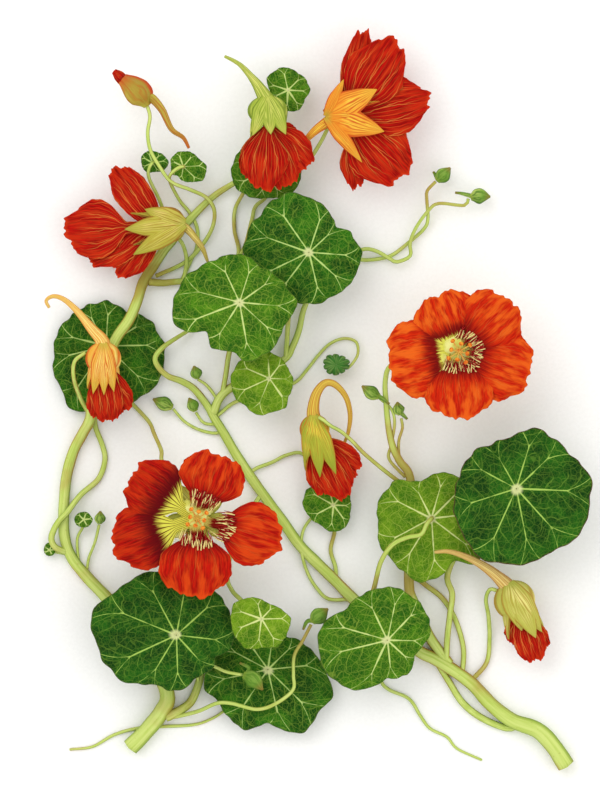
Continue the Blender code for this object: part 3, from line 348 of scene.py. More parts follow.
# Stems: plan rows (right, down, height), then radii in millimetres from start to end.
leftVine = [(130, 747, 3.3), (144, 733, 3.2), (161, 712, 3.1), (167, 693, 3), (150, 655, 2.9),
    (127, 622, 2.8), (107, 598, 2.7), (87, 577, 2.6), (72, 558, 2.5), (65, 539, 2.4), (63.6, 519, 2.1),
    (64.4, 496, 2), (67, 474, 1.9), (73.6, 451, 2.1), (83, 433, 3.5), (90.8, 418, 7), (92, 400, 9.3),
    (100, 375, 10), (110, 352, 10), (118, 336, 10), (129.5, 319.6, 9.8), (137.8, 300, 8), (143, 283, 4.5),
    (153, 266.6, 2.4), (164.4, 250, 1.9), (172, 241, 1.8), (187.5, 222, 1.6), (210.4, 199, 2.4),
    (230, 185.6, 4), (243, 179, 5.5), (262, 166, 7), (275, 152, 8.5)]
leftVineThick = (3.6, 3.3, 2.9, 2.6, 2.3, 2.25, 2.3, 2.35, 2.3, 2.2, 1.8, 1.2, 1)
leftStalks = [
    ([(149, 282, 4), (163, 283, 3), (183, 281.5, 2.4), (200, 285, 1.6)], (1.6, 1.1)),
    ([(166, 717, 3), (173, 714, 3), (190, 702.6, 2.4), (198.7, 683.5, 2), (205, 660, 1.6),
     (225, 664, 1.4), (250, 668, 1.5), (265, 669, 3), *below("leaf_15")], (2, 1.5, 1.1)),
    ([(66, 552, 3), (55.4, 547, 5.2), (51.6, 538.6, 5.4), (54.4, 529, 5.6), (60, 520, 6),
     (67.8, 511.8, 5.6), (81, 494.6, 3), (98.4, 479, 1.2), (105, 460, 0.9), (102.3, 445, 0.9),
     (95, 424, 0.9), (97, 400, 0.9), (102, 370, 0.9), (106, 350, 1),
     *below("leaf_08", 1.2)], (1.4, 1.2, 1.1, 1)),
    ([(88, 411, 8), (81.5, 399, 12), (74.8, 379, 17), (75.5, 362, 19.5), (86.2, 352.8, 19.5)], (1, 0.8)),
    ([(147.6, 106.4, 18), (150.6, 118, 18), (148.3, 134, 17.5), (151, 151, 16), (160.7, 168.4, 15.5),
     (172, 182.7, 13), (191, 190.4, 10), (206.6, 198, 7), (214.3, 210.4, 5), (212.4, 227.7, 3.5),
     (201, 246.8, 2.5), (184, 263, 2), (156, 276, 3)], (0.75, 0.9)),
    ([*above("leaf_02", 2.6), (150, 168, 14.2), (149.2, 178, 11), (159, 199, 6), (164, 212.4, 3),
     (170, 228, 2), (174, 240, 2)], (0.7, 0.8)),
    ([*above("leaf_03"), (178, 169, 16.8), (170.5, 176, 15), (170.8, 183.7, 10), (180, 201, 4),
     (189.4, 212.4, 1.5), (197, 227.7, 1.1), (197, 246.8, 1.1), (191, 260, 1.2),
     (182, 280, 2)], (0.7, 0.8)),
    ([(171, 231, 10.95), (172, 233, 8.6), (182, 243, 5.5), (186.5, 258, 3.5), (185.6, 270, 2.5),
     (183, 281, 2.2)], (0.8, 0.9)),
    ([(260, 122, 17.6), (257.4, 127.5, 14.6), (251.5, 138, 10.8), (248, 150, 8.6), (246, 185.6, 5),
     (235.4, 208.5, 2), (234.4, 229.6, 1.2), (238.3, 254.4, 1.1), (222, 272, 1.1),
     (198, 285, 1.4)], (0.7, 0.9)),
    ([*under("leaf_04"), (267, 195, 4.5), (255.5, 206.6, 2), (251.7, 220, 1.2), (243, 250, 1.1),
     (225, 270, 1.1)], (0.8, 0.8)),
    ([*under("leaf_01"), (287, 105, 8.5), (283, 130, 8), (273, 154, 8.3)], (0.7, 0.8)),
    ([(330, 123, 18.1), (328.6, 127, 16), (320, 144, 12.5), (308, 160.7, 9), (290, 168, 7.5),
     (266, 164, 7.2)], (0.8, 0.9)),
    ([*under("leaf_13"), (172, 638, 14), (162, 646, 7.5), (150, 655, 3)], (1.2, 1.4)),
    ([(189.2, 505.7, 24.3), (184, 499, 22.3), (175, 485, 17.5), (162.5, 462, 11), (161.6, 450.6, 8),
     (154.4, 434, 5), (149.4, 422.4, 2.5), (136, 407.5, 0.9), (120, 392, 0.8),
     (100, 385, 0.9)], (0.9, 0.8)),
    ([(311, 624, 12.8), (303, 639.5, 12.8), (294.4, 654.8, 12.6), (293.4, 674, 12.6), (293, 689, 12.6),
     (276, 702.6, 12.6), (257, 708.4, 12.4), (232, 702.6, 12), (217, 702.6, 10), (199.7, 710.3, 6),
     (182.4, 715, 3.5), (167, 718, 3)], (0.7, 0.9)),
    ([(242, 674, 13), (226.4, 671, 13), (213, 665.3, 12.5), (201, 665, 9.5), (198, 673, 5),
     (198.5, 684, 2.4)], (0.7, 0.8)),
    ([(69.6, 749.5, 0.5), (92.5, 746.6, 0.5), (113.6, 735, 0.5), (136.5, 728.4, 0.5), (161, 726.5, 0.5),
     (194, 724.6, 0.5), (213, 718, 0.6), (226.4, 709.3, 0.6)], (0.5, 0.7, 0.7, 0.5)),
    ([*under("leaf_16", 1.2), (83, 527, 2.6), (77.4, 538.6, 2), (78.4, 557.7, 1.8),
     (81, 565, 2)], (0.6, 0.6)),
    ([*under("leaf_17", 0.8), (56, 552, 0.7), (67, 554, 1.5)], (0.6, 0.6)),
    ([(99.4, 524.6, 4.6), (95, 542.4, 3), (89, 557.7, 2), (87, 570, 2.4)], (0.6, 0.6)),
]
rightVine = [(565.9, 765.7, 3.2), (553, 746, 3.2), (537, 730, 3), (512, 720.5, 2.7), (491, 704.5, 2.5),
    (472, 684, 2.4), (453, 670, 2.4), (434, 658.6, 2.3), (418.6, 651, 2.3), (385, 627, 2.2),
    (353.6, 599.3, 2.1), (334.4, 580, 2.1), (319, 565, 2.1), (300, 545.7, 2), (284, 523.3, 2),
    (268.7, 502.3, 1.9), (249.6, 475.5, 1.9), (236, 454.4, 1.9), (222.8, 431.5, 1.8), (214, 417.5, 1.7),
    (207.5, 406, 1.5), (194, 389, 2), (181, 381, 4), (167.7, 376, 7.2), (157.7, 366, 8.6),
    (155.5, 357, 8.9), (162.7, 347.8, 8.3), (172, 341, 6), (183, 334, 3.4), (196, 326, 1.4)]
rightVineThick = (3.7, 3.4, 2.95, 2.7, 2.6, 2.5, 2.4, 2.3, 2.2, 2.15, 1.8, 1.4, 1.1, 0.7)
rightBranch = [(449, 664, 2.4), (430, 637.6, 2.6), (420, 615, 4), (411, 596, 5), (409, 586, 5),
    (409, 560, 5), (410, 520, 5), (410, 478, 6), (399.6, 461, 8), (392.7, 447, 10), (388.4, 428, 11.5),
    (385.8, 402, 13), (385, 381.5, 14.5), (390, 366, 15.5), (410, 357, 16.5), (430, 354, 18),
    (444, 353, 19)]
rightBranchThick = (2.3, 2.2, 2.1, 2.0, 1.7, 1.2, 1.0, 0.9)
rightFork = [(213, 414, 1.8), (219, 399, 2.2), (229, 389, 2.4), (250, 378, 2.6), (283.7, 360, 3),
    (292.3, 347, 3.2), (299, 330, 3.4), (304.4, 307.5, 3.4), (318, 280, 3.4), (340, 262, 3.4),
    (361, 250, 3.4), (375, 250.7, 3.4), (390.5, 259.3, 3.4), (397, 262, 3.4), (410, 256, 3.4),
    (410, 243, 4), (416, 227.7, 5), (428.6, 210.4, 5.5), (439, 203.7, 6), (464, 205.7, 6.5),
    (468, 199, 7)]
rightForkThick = (1.9, 1.7, 1.4, 1.1, 0.85, 0.8, 0.7, 0.7)
rightStalks = [
    ([(350, 256, 3), (363, 260, 1.4), (382, 258.4, 1.2), (394, 254, 1.2), (409.4, 242, 1.6),
     (423, 230, 2.5), (427.7, 220, 4), (426.7, 201, 6), (427, 191.3, 6.5), (435.4, 182, 7)], (0.8, 0.7)),
    ([*under("leaf_05"), (303, 275, 10), (290, 310, 6.5), (287, 340, 5), (285.4, 361, 3)], (1, 1)),
    ([*under("leaf_07"), (262, 380, 8), (250, 379, 2.6)], (0.9, 1)),
    ([*under("leaf_06"), (235, 330, 14), (229, 354.5, 8), (225.7, 376, 5),
     (222.4, 394, 2.4)], (1.1, 1.1)),
    ([*under("leaf_09", 1.6), (334, 520, 2), (334.4, 533, 1.4), (330.6, 550, 1.4), (335.4, 567, 1.6),
     (336, 580, 2)], (0.8, 0.9)),
    ([(248, 474, 2), (257, 468, 1.6), (271.7, 462.5, 1.4), (287, 455, 1.3), (302.7, 454, 1.2),
     (318, 475, 1), (328, 497, 1), (333.5, 520, 1.3)], (0.8, 0.6)),
    ([(352, 599, 2), (329, 599, 1.6), (317, 588.4, 1.4), (307.7, 573, 1.5), (302, 554, 3.6),
     (302, 535, 2), (308.6, 521.4, 1.1), (322, 510, 1), (333.5, 512, 1.4)], (0.8, 0.6)),
    ([*under("leaf_12"), (380, 632, 12), (366, 615, 5), (356, 601, 2.4)], (1.3, 1.4)),
    ([*under("leaf_14"), (255, 612, 23), (240, 598, 18), (232.4, 590, 15), (227.6, 577, 12),
     (232, 550, 7.5), (245, 520, 4), (262, 493, 2.2)], (0.9, 1)),
    ([(347, 368.6, 5.7), (352, 364, 5.4), (357.8, 354, 4), (356, 342, 2.6), (344, 338.5, 1.8),
     (330, 343.7, 1.3), (318, 355.7, 1.1), (306, 371, 1), (294, 383, 1), (265, 395, 1), (236, 401.7, 1),
     (217, 416, 1.4)], (0.6, 0.8)),
    ([(198, 379.4, 4.7), (207.5, 386, 3), (217, 399, 2.2)], (0.6, 0.7)),
    ([(173.4, 409, 2.8), (184, 421, 1.4), (197.5, 429, 1.1), (212.4, 433, 1.2),
     (222, 432, 1.8)], (0.6, 0.7)),
    ([(196, 412.4, 3.3), (201.7, 421, 2.4), (207.5, 424, 1.8), (218, 424, 1.7)], (0.6, 0.7)),
    ([*above("leaf_10"), (426.3, 523.3, 20), (420.5, 533.8, 20.6), (407, 536.7, 20.6),
     (391.8, 544.4, 20.6), (380.4, 561.6, 18.6), (373.7, 588, 12), (368, 603, 7),
     (356, 600, 2.4)], (0.9, 1.1)),
    ([*under("leaf_11"), (508, 493, 19), (483, 515, 10.5), (462, 543, 7.5), (447.3, 574.4, 6),
     (452, 593.6, 5.6), (450, 612.7, 5), (447.3, 635.7, 4.4), (446.4, 655, 3.6),
     (447, 667, 2.6)], (1.2, 1.3, 1.3)),
    ([(462, 675, 2.2), (463.6, 653, 1.8), (460.7, 635.7, 1.4), (453, 614.6, 1.3), (441.6, 597.4, 1.6),
     (424.4, 584, 3), (411, 572, 4.6)], (1.1, 1.1)),
    ([(496.4, 590, 13), (489.4, 589, 11.5), (485.6, 599.3, 8), (488.4, 616.5, 4), (489.4, 639.5, 2),
     (486.5, 662.4, 1.4), (472, 680, 2)], (0.8, 1)),
    ([(438, 664, 2.2), (449, 681.6, 1.3), (462.6, 702.6, 1.2), (482, 718, 1.2), (507, 728, 1.6),
     (520, 724, 2.2)], (1.3, 1.5, 1.4)),
    ([(383, 627, 2), (381, 650, 1), (380.4, 677.7, 0.6), (388, 689, 0.5), (409, 698.8, 0.5),
     (420.5, 716, 0.5), (430, 728.4, 0.5), (447, 737, 0.5), (457, 748.5, 0.5),
     (481.7, 760, 0.5)], (0.8, 0.7, 0.5)),
    ([(379.6, 398.5, 11.4), (391, 409, 12.5), (394.4, 423, 12.5), (391, 445, 8.4), (389, 459, 6.5),
     (405, 477, 6.2)], (0.6, 0.7)),
    ([(401, 418.5, 12.2), (402.2, 428, 11), (398.7, 440, 9.5), (398.7, 454, 8),
     (401, 463, 7.6)], (0.6, 0.7)),
    ([(319, 417.5, 20.5), (324, 420.5, 21.6), (331, 426, 20), (341, 431.5, 16.5), (352, 441, 14),
     (366.4, 455.6, 11), (394, 478, 7), (409, 487, 6)], (0.75, 0.9)),
]


# One input or output of a node operation, so that formulas below read as plain arithmetic.
def operation(kind, swapped=False):
    def apply(a, b=0.0):
        return a.graph.math(kind, b, a) if swapped else a.graph.math(kind, a, b)
    return apply


# A wire is a node's output with the graph that it lies in.
class Wire:
    def __init__(self, graph, socket):
        self.graph = graph
        self.socket = socket

    __add__ = operation("ADD")
    __sub__ = operation("SUBTRACT")
    __rsub__ = operation("SUBTRACT", swapped=True)
    __mul__ = operation("MULTIPLY")
    __truediv__ = operation("DIVIDE")
    __abs__ = operation("ABSOLUTE")
    floor = operation("FLOOR")
    fract = operation("FRACT")
    round = operation("ROUND")
    least = operation("MINIMUM")
    most = operation("MAXIMUM")


# A material's nodes. Each method adds one node and gives its output back as a wire.
class Graph:
    def __init__(self, name, roughness=0.55, specular=0.4):
        self.material = bpy.data.materials.new(name)
        self.material.use_nodes = True
        self.tree = self.material.node_tree
        self.shader = self.tree.nodes["Principled BSDF"]
        self.shader.inputs["Roughness"].default_value = roughness
        self.shader.inputs["Specular IOR Level"].default_value = specular

    # One node; inputs go by their names or numbers.
    def node(self, kind, inputs, output=0, **settings):
        made = self.tree.nodes.new("ShaderNode" + kind)
        for key, value in settings.items():
            setattr(made, key, value)
        for key, value in inputs.items():
            self.feed(made.inputs[key], value)
        return Wire(self, made.outputs[output])

    # Links a wire to an input, or sets the input to a colour or a number.
    def feed(self, target, value):
        if isinstance(value, Wire):
            self.tree.links.new(value.socket, target)
        elif isinstance(value, tuple):
            target.default_value = (*value, 1.0)
        else:
            target.default_value = value

    # a and b joined by one operation.
    def math(self, kind, a, b):
        return self.node("Math", {0: a, 1: b}, operation=kind)

    # A smooth step from 0 at low to 1 at high; swapped ends turn it over.
    def step(self, value, low, high):
        return self.node("MapRange", {"Value": value, "From Min": low, "From Max": high},
                         interpolation_type="SMOOTHSTEP")

    # From colour a to colour b by share.
    def mix(self, share, a, b):
        return self.node("Mix", {"Factor": share, 6: a, 7: b}, output=2, data_type="RGBA")

    # Both directions of the UV.
    def uv(self):
        flat = self.node("UVMap", {}, uv_map="UVMap")
        return [self.node("SeparateXYZ", {0: flat}, output=k) for k in range(2)]

    # The mesh's tone numbers.
    def tone(self):
        return self.node("Attribute", {}, output="Fac", attribute_name="tone")

    # The point on the piece itself.
    def place(self):
        return self.node("TexCoord", {}, output="Object")

    # Soft noise about one half.
    def noise(self, where, scale, detail=3.0, rough=0.5):
        return self.node("TexNoise", {"Vector": where, "Scale": scale, "Detail": detail, "Roughness": rough},
                         output="Fac")

    # Noise over two wires, each stretched by its own scale, and told apart by a seed.
    def streaks(self, x, y, seed, scales, detail, rough=0.5):
        where = self.node("CombineXYZ", {0: x * scales[0], 1: y * scales[1], 2: seed})
        return self.noise(where, 1.0, detail, rough)

    # Thin where two cells of a network meet.
    def cells(self, where, scale):
        return self.node("TexVoronoi", {"Vector": where, "Scale": scale}, output="Distance",
                         feature="DISTANCE_TO_EDGE")

    # The finished material, with its colour and the relief of its skin.
    def finish(self, colour, height=None, strength=0.3, distance=0.0004):
        self.feed(self.shader.inputs["Base Color"], colour)
        if height is not None:
            bump = self.node("Bump", {"Strength": strength, "Distance": distance, "Height": height})
            self.feed(self.shader.inputs["Normal"], bump)
        return self.material


# Leaf colours: deep and fresh green of the blade, vein and main vein, and the net's strength. A leaf's
# UV holds the vein phase over veinScale, whole on main veins, and the share of the radius; its tone
# holds the arc between two main veins there, in centimetres.
veinScale = 16.0
leafLooks = {
    "deepest": dict(deep=(0.003, 0.034, 0.003), fresh=(0.016, 0.11, 0.006), vein=(0.2, 0.36, 0.04),
                    main=(0.36, 0.54, 0.1), net=0.28),
    "dark": dict(deep=(0.004, 0.048, 0.003), fresh=(0.028, 0.155, 0.006), vein=(0.28, 0.44, 0.05),
                 main=(0.46, 0.62, 0.18), net=0.3),
    "mid": dict(deep=(0.01, 0.08, 0.003), fresh=(0.065, 0.21, 0.006), vein=(0.36, 0.5, 0.06),
                main=(0.55, 0.67, 0.22), net=0.3),
    "light": dict(deep=(0.04, 0.14, 0.003), fresh=(0.16, 0.31, 0.01), vein=(0.46, 0.56, 0.08),
                  main=(0.62, 0.7, 0.26), net=0.3),
}
leafLooks["edged"] = dict(leafLooks["deepest"], rim=(0.16, 0.02, 0.04))


# Main veins are where the way to the nearest one is short; past two thirds of the radius they part
# into two. Side veins slant off them as a saw wave, and two cell nets fill the rest. The blade is
# fresh near the veins and deep in patches and strokes, with broad patches of painted shade.
def leafMaterial(name, deep, fresh, vein, main, net, rim=(0.1, 0.12, 0.03)):
    g = Graph("leaf_" + name, roughness=0.6, specular=0.05)
    across, share = g.uv()
    phase = across * veinScale
    arc = g.tone() * 10.0
    where = g.place()
    wobble = g.noise(where, 160.0) - 0.5
    off = abs(phase - phase.round())
    side = off * arc
    away = abs(side + wobble * 0.8)
    part = (share - 0.62).most(0.0) * 0.62
    parted = abs(side - part * arc)
    away = (away + g.step(share, 0.66, 0.8) * 2.0).least(parted + abs(wobble) * 0.8)
    width = 0.44 - share * 0.27
    ridge = g.step(away, width, width * 0.35)
    radius = share * 24.0
    slant = radius - side * 0.85 + wobble * 4.0
    saw = abs((slant / 4.4).fract() - 0.5) * 4.4
    second = g.step(saw, 0.3, 0.08) * g.step(off, 0.5, 0.36)
    coarse = g.step(g.cells(where, 360.0), 0.06, 0.01)
    fine = g.step(g.cells(where, 900.0), 0.13, 0.02)
    lines = (second * 0.42).most(coarse * net).most(fine * (net * 0.45))
    body = g.mix(g.step(g.noise(where, 95.0, 4.0, 0.6), 0.36, 0.66), deep, fresh)
    strokes = g.streaks(phase, radius, 0.0, (3.0, 2.6), 3.0)
    body = g.mix(g.step(strokes, 0.44, 0.6) * 0.42, body, deep)
    # Painted shade: broad dark patches across the blade.
    body = g.mix(g.step(g.noise(where, 34.0, 1.0), 0.5, 0.64) * 0.5, body, deep)
    body = g.mix(g.step(away, 2.6, 0.2) * 0.45, body, fresh)
    colour = g.mix(lines, body, vein)
    colour = g.mix(ridge, colour, main)
    colour = g.mix(g.step(share, 0.975, 1.0) * 0.6, colour, rim)
    colour = g.mix(g.step(share, 0.07, 0.02), colour, (0.62, 0.66, 0.3))
    return g.finish(colour, 1.0 - lines.most(ridge), 0.45, 0.0005)


# Petal colours: deep streaks on the body, a painted highlight in broad fields and at the tip with its
# strength in the fields, base at the claw up to baseEnd, a dark ring up to ringEnd, lined rays on the
# claw, and the strength of light veins.
petalLooks = {
    "deepRed": dict(deep=(0.2, 0.003, 0.002), body=(0.47, 0.006, 0.003), highlight=(0.66, 0.05, 0.008),
                    highlightShare=0.4, base=(0.42, 0.02, 0.005), baseEnd=0.1, ring=0.25, ringEnd=0.42,
                    lined=0.0, veins=0.5),
    "orange": dict(deep=(0.38, 0.008, 0.002), body=(0.62, 0.026, 0.003), highlight=(0.76, 0.13, 0.011),
                   highlightShare=0.85, base=(0.7, 0.7, 0.1), baseEnd=0.24, ring=0.8, ringEnd=0.5,
                   lined=0.3, veins=0.15),
    "crimson": dict(deep=(0.2, 0.003, 0.002), body=(0.44, 0.007, 0.003), highlight=(0.64, 0.05, 0.006),
                    highlightShare=0.45, base=(0.68, 0.66, 0.08), baseEnd=0.42, ring=0.95, ringEnd=0.78,
                    lined=1.0, veins=0.1),
    "orangeFringed": dict(deep=(0.38, 0.008, 0.002), body=(0.58, 0.02, 0.003), highlight=(0.76, 0.12, 0.01),
                          highlightShare=0.8, base=(0.6, 0.5, 0.1), baseEnd=0.1, ring=0.85, ringEnd=0.5,
                          lined=0.0, veins=0.15),
    "crimsonFringed": dict(deep=(0.26, 0.004, 0.002), body=(0.5, 0.009, 0.003), highlight=(0.74, 0.08, 0.008),
                           highlightShare=0.6, base=(0.6, 0.5, 0.1), baseEnd=0.1, ring=0.7, ringEnd=0.5,
                           lined=0.0, veins=0.15),
}


# A petal's UV runs across and from claw to tip; its tone holds a seed and its half width. Streaks are
# noise stretched lengthwise. Veins run in lanes side by side and send off two branches each.
def petalMaterial(name, deep, body, highlight, highlightShare, base, baseEnd, ring, ringEnd, lined, veins):
    g = Graph("petal_" + name, roughness=0.75, specular=0.04)
    across, along = g.uv()
    seed = g.tone().floor()
    halfWidth = g.tone().fract() * 40.0
    v = (across - 0.5) * 2.0
    fine = g.streaks(across, along, seed, (46.0, 4.0), 5.0, 0.65)
    broad = g.streaks(across, along, seed, (9.0, 2.4), 3.0)
    colour = g.mix(g.step(fine, 0.36, 0.62), deep, body)
    # Painted highlight: a lighter colour in broad noise fields on the outer petal.
    colour = g.mix(g.step(broad, 0.4, 0.62) * g.step(along, 0.3, 0.62) * highlightShare, colour, highlight)
    thread = g.step(g.streaks(across, along, seed, (95.0, 5.0), 2.0), 0.58, 0.7)
    colour = g.mix(thread * 0.4, colour, deep)
    wobble = (g.noise(g.place(), 150.0, 2.0) - 0.5) * 2.6
    lanes = v * 2.0
    off = lanes - lanes.round()
    first = (along - 0.4).most(0.0) * 0.8
    second = (along - 0.64).most(0.0) * -0.8
    gaps = [abs((off - spread) * (halfWidth * 0.5) + wobble) for spread in (0.0, first, second)]
    nearest = gaps[0].least(gaps[1]).least(gaps[2])
    line = g.step(nearest, 0.3 - along * 0.18, 0.06) * g.step(along, 0.98, 0.5)
    colour = g.mix(line * veins, colour, (0.8, 0.3, 0.06))
    threads = v * 7.0 + wobble * 0.12
    thin = g.step(abs(threads - threads.round()), 0.09, 0.02) * g.step(along, 0.9, 0.35)
    colour = g.mix(thin * (0.7 * veins), colour, (0.8, 0.24, 0.04))
    blend = along + (fine - 0.5) * 0.3
    colour = g.mix(g.step(blend, ringEnd, baseEnd + 0.02) * ring, colour, (0.09, 0.002, 0.004))
    rays = g.step(abs((across * 8.0).fract() - 0.5), 0.17, 0.05)
    throat = g.mix(rays * lined, base, (0.09, 0.012, 0.004))
    colour = g.mix(g.step(blend, baseEnd, baseEnd * 0.72), colour, throat)
    # Painted highlight: the highlight colour along the rim of the tip.
    colour = g.mix(g.step(along, 0.94, 1.0) * 0.55, colour, highlight)
    return g.finish(colour, fine + line * 0.6, 0.5, 0.0004)


# Striped parts: pale in the middle, deep in streaks and on the flanks, a line colour on nerves and
# rims, and the colour of the tip.
stripeLooks = {
    name: dict(pale=pale, deep=deep, line=line, tip=tip) for name, pale, deep, line, tip in (
        ("flower_1", (0.84, 0.56, 0.06), (0.76, 0.24, 0.02), (0.54, 0.05, 0.01), (0.78, 0.5, 0.05)),
        ("flower_2", (0.66, 0.66, 0.16), (0.32, 0.42, 0.04), (0.16, 0.24, 0.02), (0.6, 0.56, 0.1)),
        ("flower_3", (0.72, 0.6, 0.17), (0.42, 0.38, 0.04), (0.32, 0.14, 0.02), (0.36, 0.36, 0.04)),
        ("flower_4", (0.84, 0.62, 0.16), (0.74, 0.36, 0.04), (0.62, 0.08, 0.012), (0.5, 0.52, 0.05)),
        ("flower_5", (0.74, 0.6, 0.07), (0.3, 0.36, 0.03), (0.52, 0.17, 0.02), (0.27, 0.36, 0.03)),
        ("flower_8", (0.76, 0.68, 0.22), (0.44, 0.44, 0.07), (0.4, 0.24, 0.03), (0.46, 0.44, 0.06)),
        ("flower_9", (0.52, 0.42, 0.07), (0.36, 0.24, 0.03), (0.5, 0.03, 0.01), (0.56, 0.04, 0.01)),
        # hidden: sepals under the front blooms' petals, painted pale to offset the shade that falls there.
        ("hidden", (0.86, 0.88, 0.25), (0.72, 0.78, 0.14), (0.5, 0.56, 0.07), (0.84, 0.86, 0.22)),
        ("bud", (0.42, 0.53, 0.12), (0.12, 0.27, 0.025), (0.06, 0.14, 0.02), (0.3, 0.1, 0.03)),
        ("pod", (0.36, 0.54, 0.15), (0.06, 0.24, 0.03), (0.02, 0.1, 0.015), (0.06, 0.24, 0.03)),
        ("spur_4", (0.86, 0.7, 0.22), (0.8, 0.46, 0.08), (0.72, 0.2, 0.02), (0.5, 0.5, 0.05)),
        ("spur_5", (0.72, 0.56, 0.08), (0.6, 0.32, 0.04), (0.5, 0.15, 0.03), (0.6, 0.4, 0.05)),
        ("spur_8", (0.78, 0.62, 0.22), (0.64, 0.42, 0.09), (0.5, 0.2, 0.05), (0.6, 0.4, 0.05)),
    )
}


# Stripes run lengthwise: the UV goes round the tube or across the sepal, and along it. Nerves are
# even lanes bent by noise. A tube gets painted shade on its flanks; a sepal has a green heel, a tip and a
# rim.
def stripeMaterial(name, pale, deep, line, tip, tube=False):
    g = Graph("stripe_" + name, roughness=0.6, specular=0.08)
    around, along = g.uv()
    seed = g.tone().floor()
    streak = g.streaks(around, along, seed, (22.0, 1.8), 4.0, 0.6)
    colour = g.mix(g.step(streak, 0.38, 0.56), deep, pale)
    sides = abs(around - 0.5)
    if not tube:
        colour = g.mix(g.step(sides, 0.12, 0.34) * 0.65, colour, deep)
    bend = g.streaks(around, along, seed, (5.0, 2.0), 1.0) * 2.2
    lanes = (around * (15.0 if tube else 8.0) + bend).fract()
    nerves = g.step(abs(lanes - 0.5), 0.27, 0.06)
    colour = g.mix(nerves * 0.75, colour, line)
    if tube:
        # Painted shade: the line colour on a tube's flanks, where the tone is low.
        colour = g.mix(g.step(g.tone(), 0.8, 0.3) * 0.6, colour, line)
    else:
        colour = g.mix(g.step(g.noise(g.place(), 75.0, 1.0), 0.44, 0.6) * 0.6, colour, deep)
        colour = g.mix(g.step(along, 0.22, 0.02) * 0.5, colour, (0.4, 0.46, 0.06))
        colour = g.mix(g.step(along, 0.6, 1.0) * 0.6, colour, tip)
        colour = g.mix(g.step(sides, 0.4, 0.48) * 0.85, colour, line)
    colour = g.mix(g.step(g.noise(g.place(), 90.0), 0.5, 0.7) * 0.35, colour, deep)
    return g.finish(colour, streak - nerves * 0.5, 0.5, 0.0004)


# A stem is streaked lengthwise, with painted shade on its flanks: darker green, and reddish brown in
# patches. It also has brown stretches, green fields and fine specks.
def stemMaterial():
    g = Graph("stem_skin", roughness=0.5, specular=0.12)
    around, along = g.uv()
    where = g.place()
    streak = g.streaks(around, along, 1.0, (12.0, 9.0), 4.0, 0.6)
    colour = g.mix(g.step(streak, 0.35, 0.65), (0.42, 0.55, 0.09), (0.6, 0.7, 0.2))
    # Painted shade: darker green on the flanks, where the tone is low.
    colour = g.mix(g.step(g.tone(), 0.8, 0.2), colour, (0.2, 0.3, 0.03))
    colour = g.mix(g.step(g.noise(where, 34.0, 3.0), 0.52, 0.68) * 0.65, colour, (0.4, 0.2, 0.04))
    # Painted shade: reddish brown in noise patches on the flanks.
    reddishFlankShade = g.step(g.noise(where, 24.0, 2.0), 0.48, 0.62) * g.step(g.tone(), 0.8, 0.3)
    colour = g.mix(reddishFlankShade * 0.7, colour, (0.42, 0.17, 0.03))
    colour = g.mix(g.step(g.noise(where, 14.0, 1.0), 0.55, 0.7) * 0.3, colour, (0.26, 0.44, 0.05))
    colour = g.mix(g.step(g.noise(where, 900.0, 2.0), 0.66, 0.74) * 0.3, colour, (0.3, 0.2, 0.05))
    return g.finish(colour, streak, 0.3, 0.0003)


# Two colours in soft patches.
def plainMaterial(name, first, second, scale, roughness=0.6):
    g = Graph(name, roughness=roughness, specular=0.15)
    return g.finish(g.mix(g.step(g.noise(g.place(), scale), 0.4, 0.62), first, second))


# A filament's tone is its own number: 0 is dark red and 1 is pale.
def fringeMaterial():
    g = Graph("fringe", roughness=0.6, specular=0.15)
    return g.finish(g.mix(g.tone(), (0.3, 0.006, 0.006), (0.82, 0.68, 0.26)))


leafMaterials = {name: leafMaterial(name, **facts) for name, facts in leafLooks.items()}
leafTints = {"leaf_06": "mid", "leaf_11": "edged", "leaf_13": "deepest"}
petalMaterials = {name: petalMaterial(name, **facts) for name, facts in petalLooks.items()}
stripeMaterials = {name: stripeMaterial(name, **facts) for name, facts in stripeLooks.items()}
spurLooks = {"flower_4": "spur_4", "flower_5": "spur_5", "flower_8": "spur_8"}
spurMaterials = {name: stripeMaterial("spur_of_" + name, **stripeLooks[spurLooks.get(name, name)], tube=True)
                 for name in stripeLooks}
stemSkin = stemMaterial()
throatSkin = plainMaterial("throat", (0.66, 0.66, 0.12), (0.78, 0.78, 0.26), 260.0)
fringeSkin = fringeMaterial()
stamenSkin = plainMaterial("stamen", (0.7, 0.5, 0.1), (0.72, 0.3, 0.05), 500.0)
antherSkin = plainMaterial("anther", (0.62, 0.12, 0.01), (0.8, 0.3, 0.03), 900.0, 0.8)
print("materials ready")


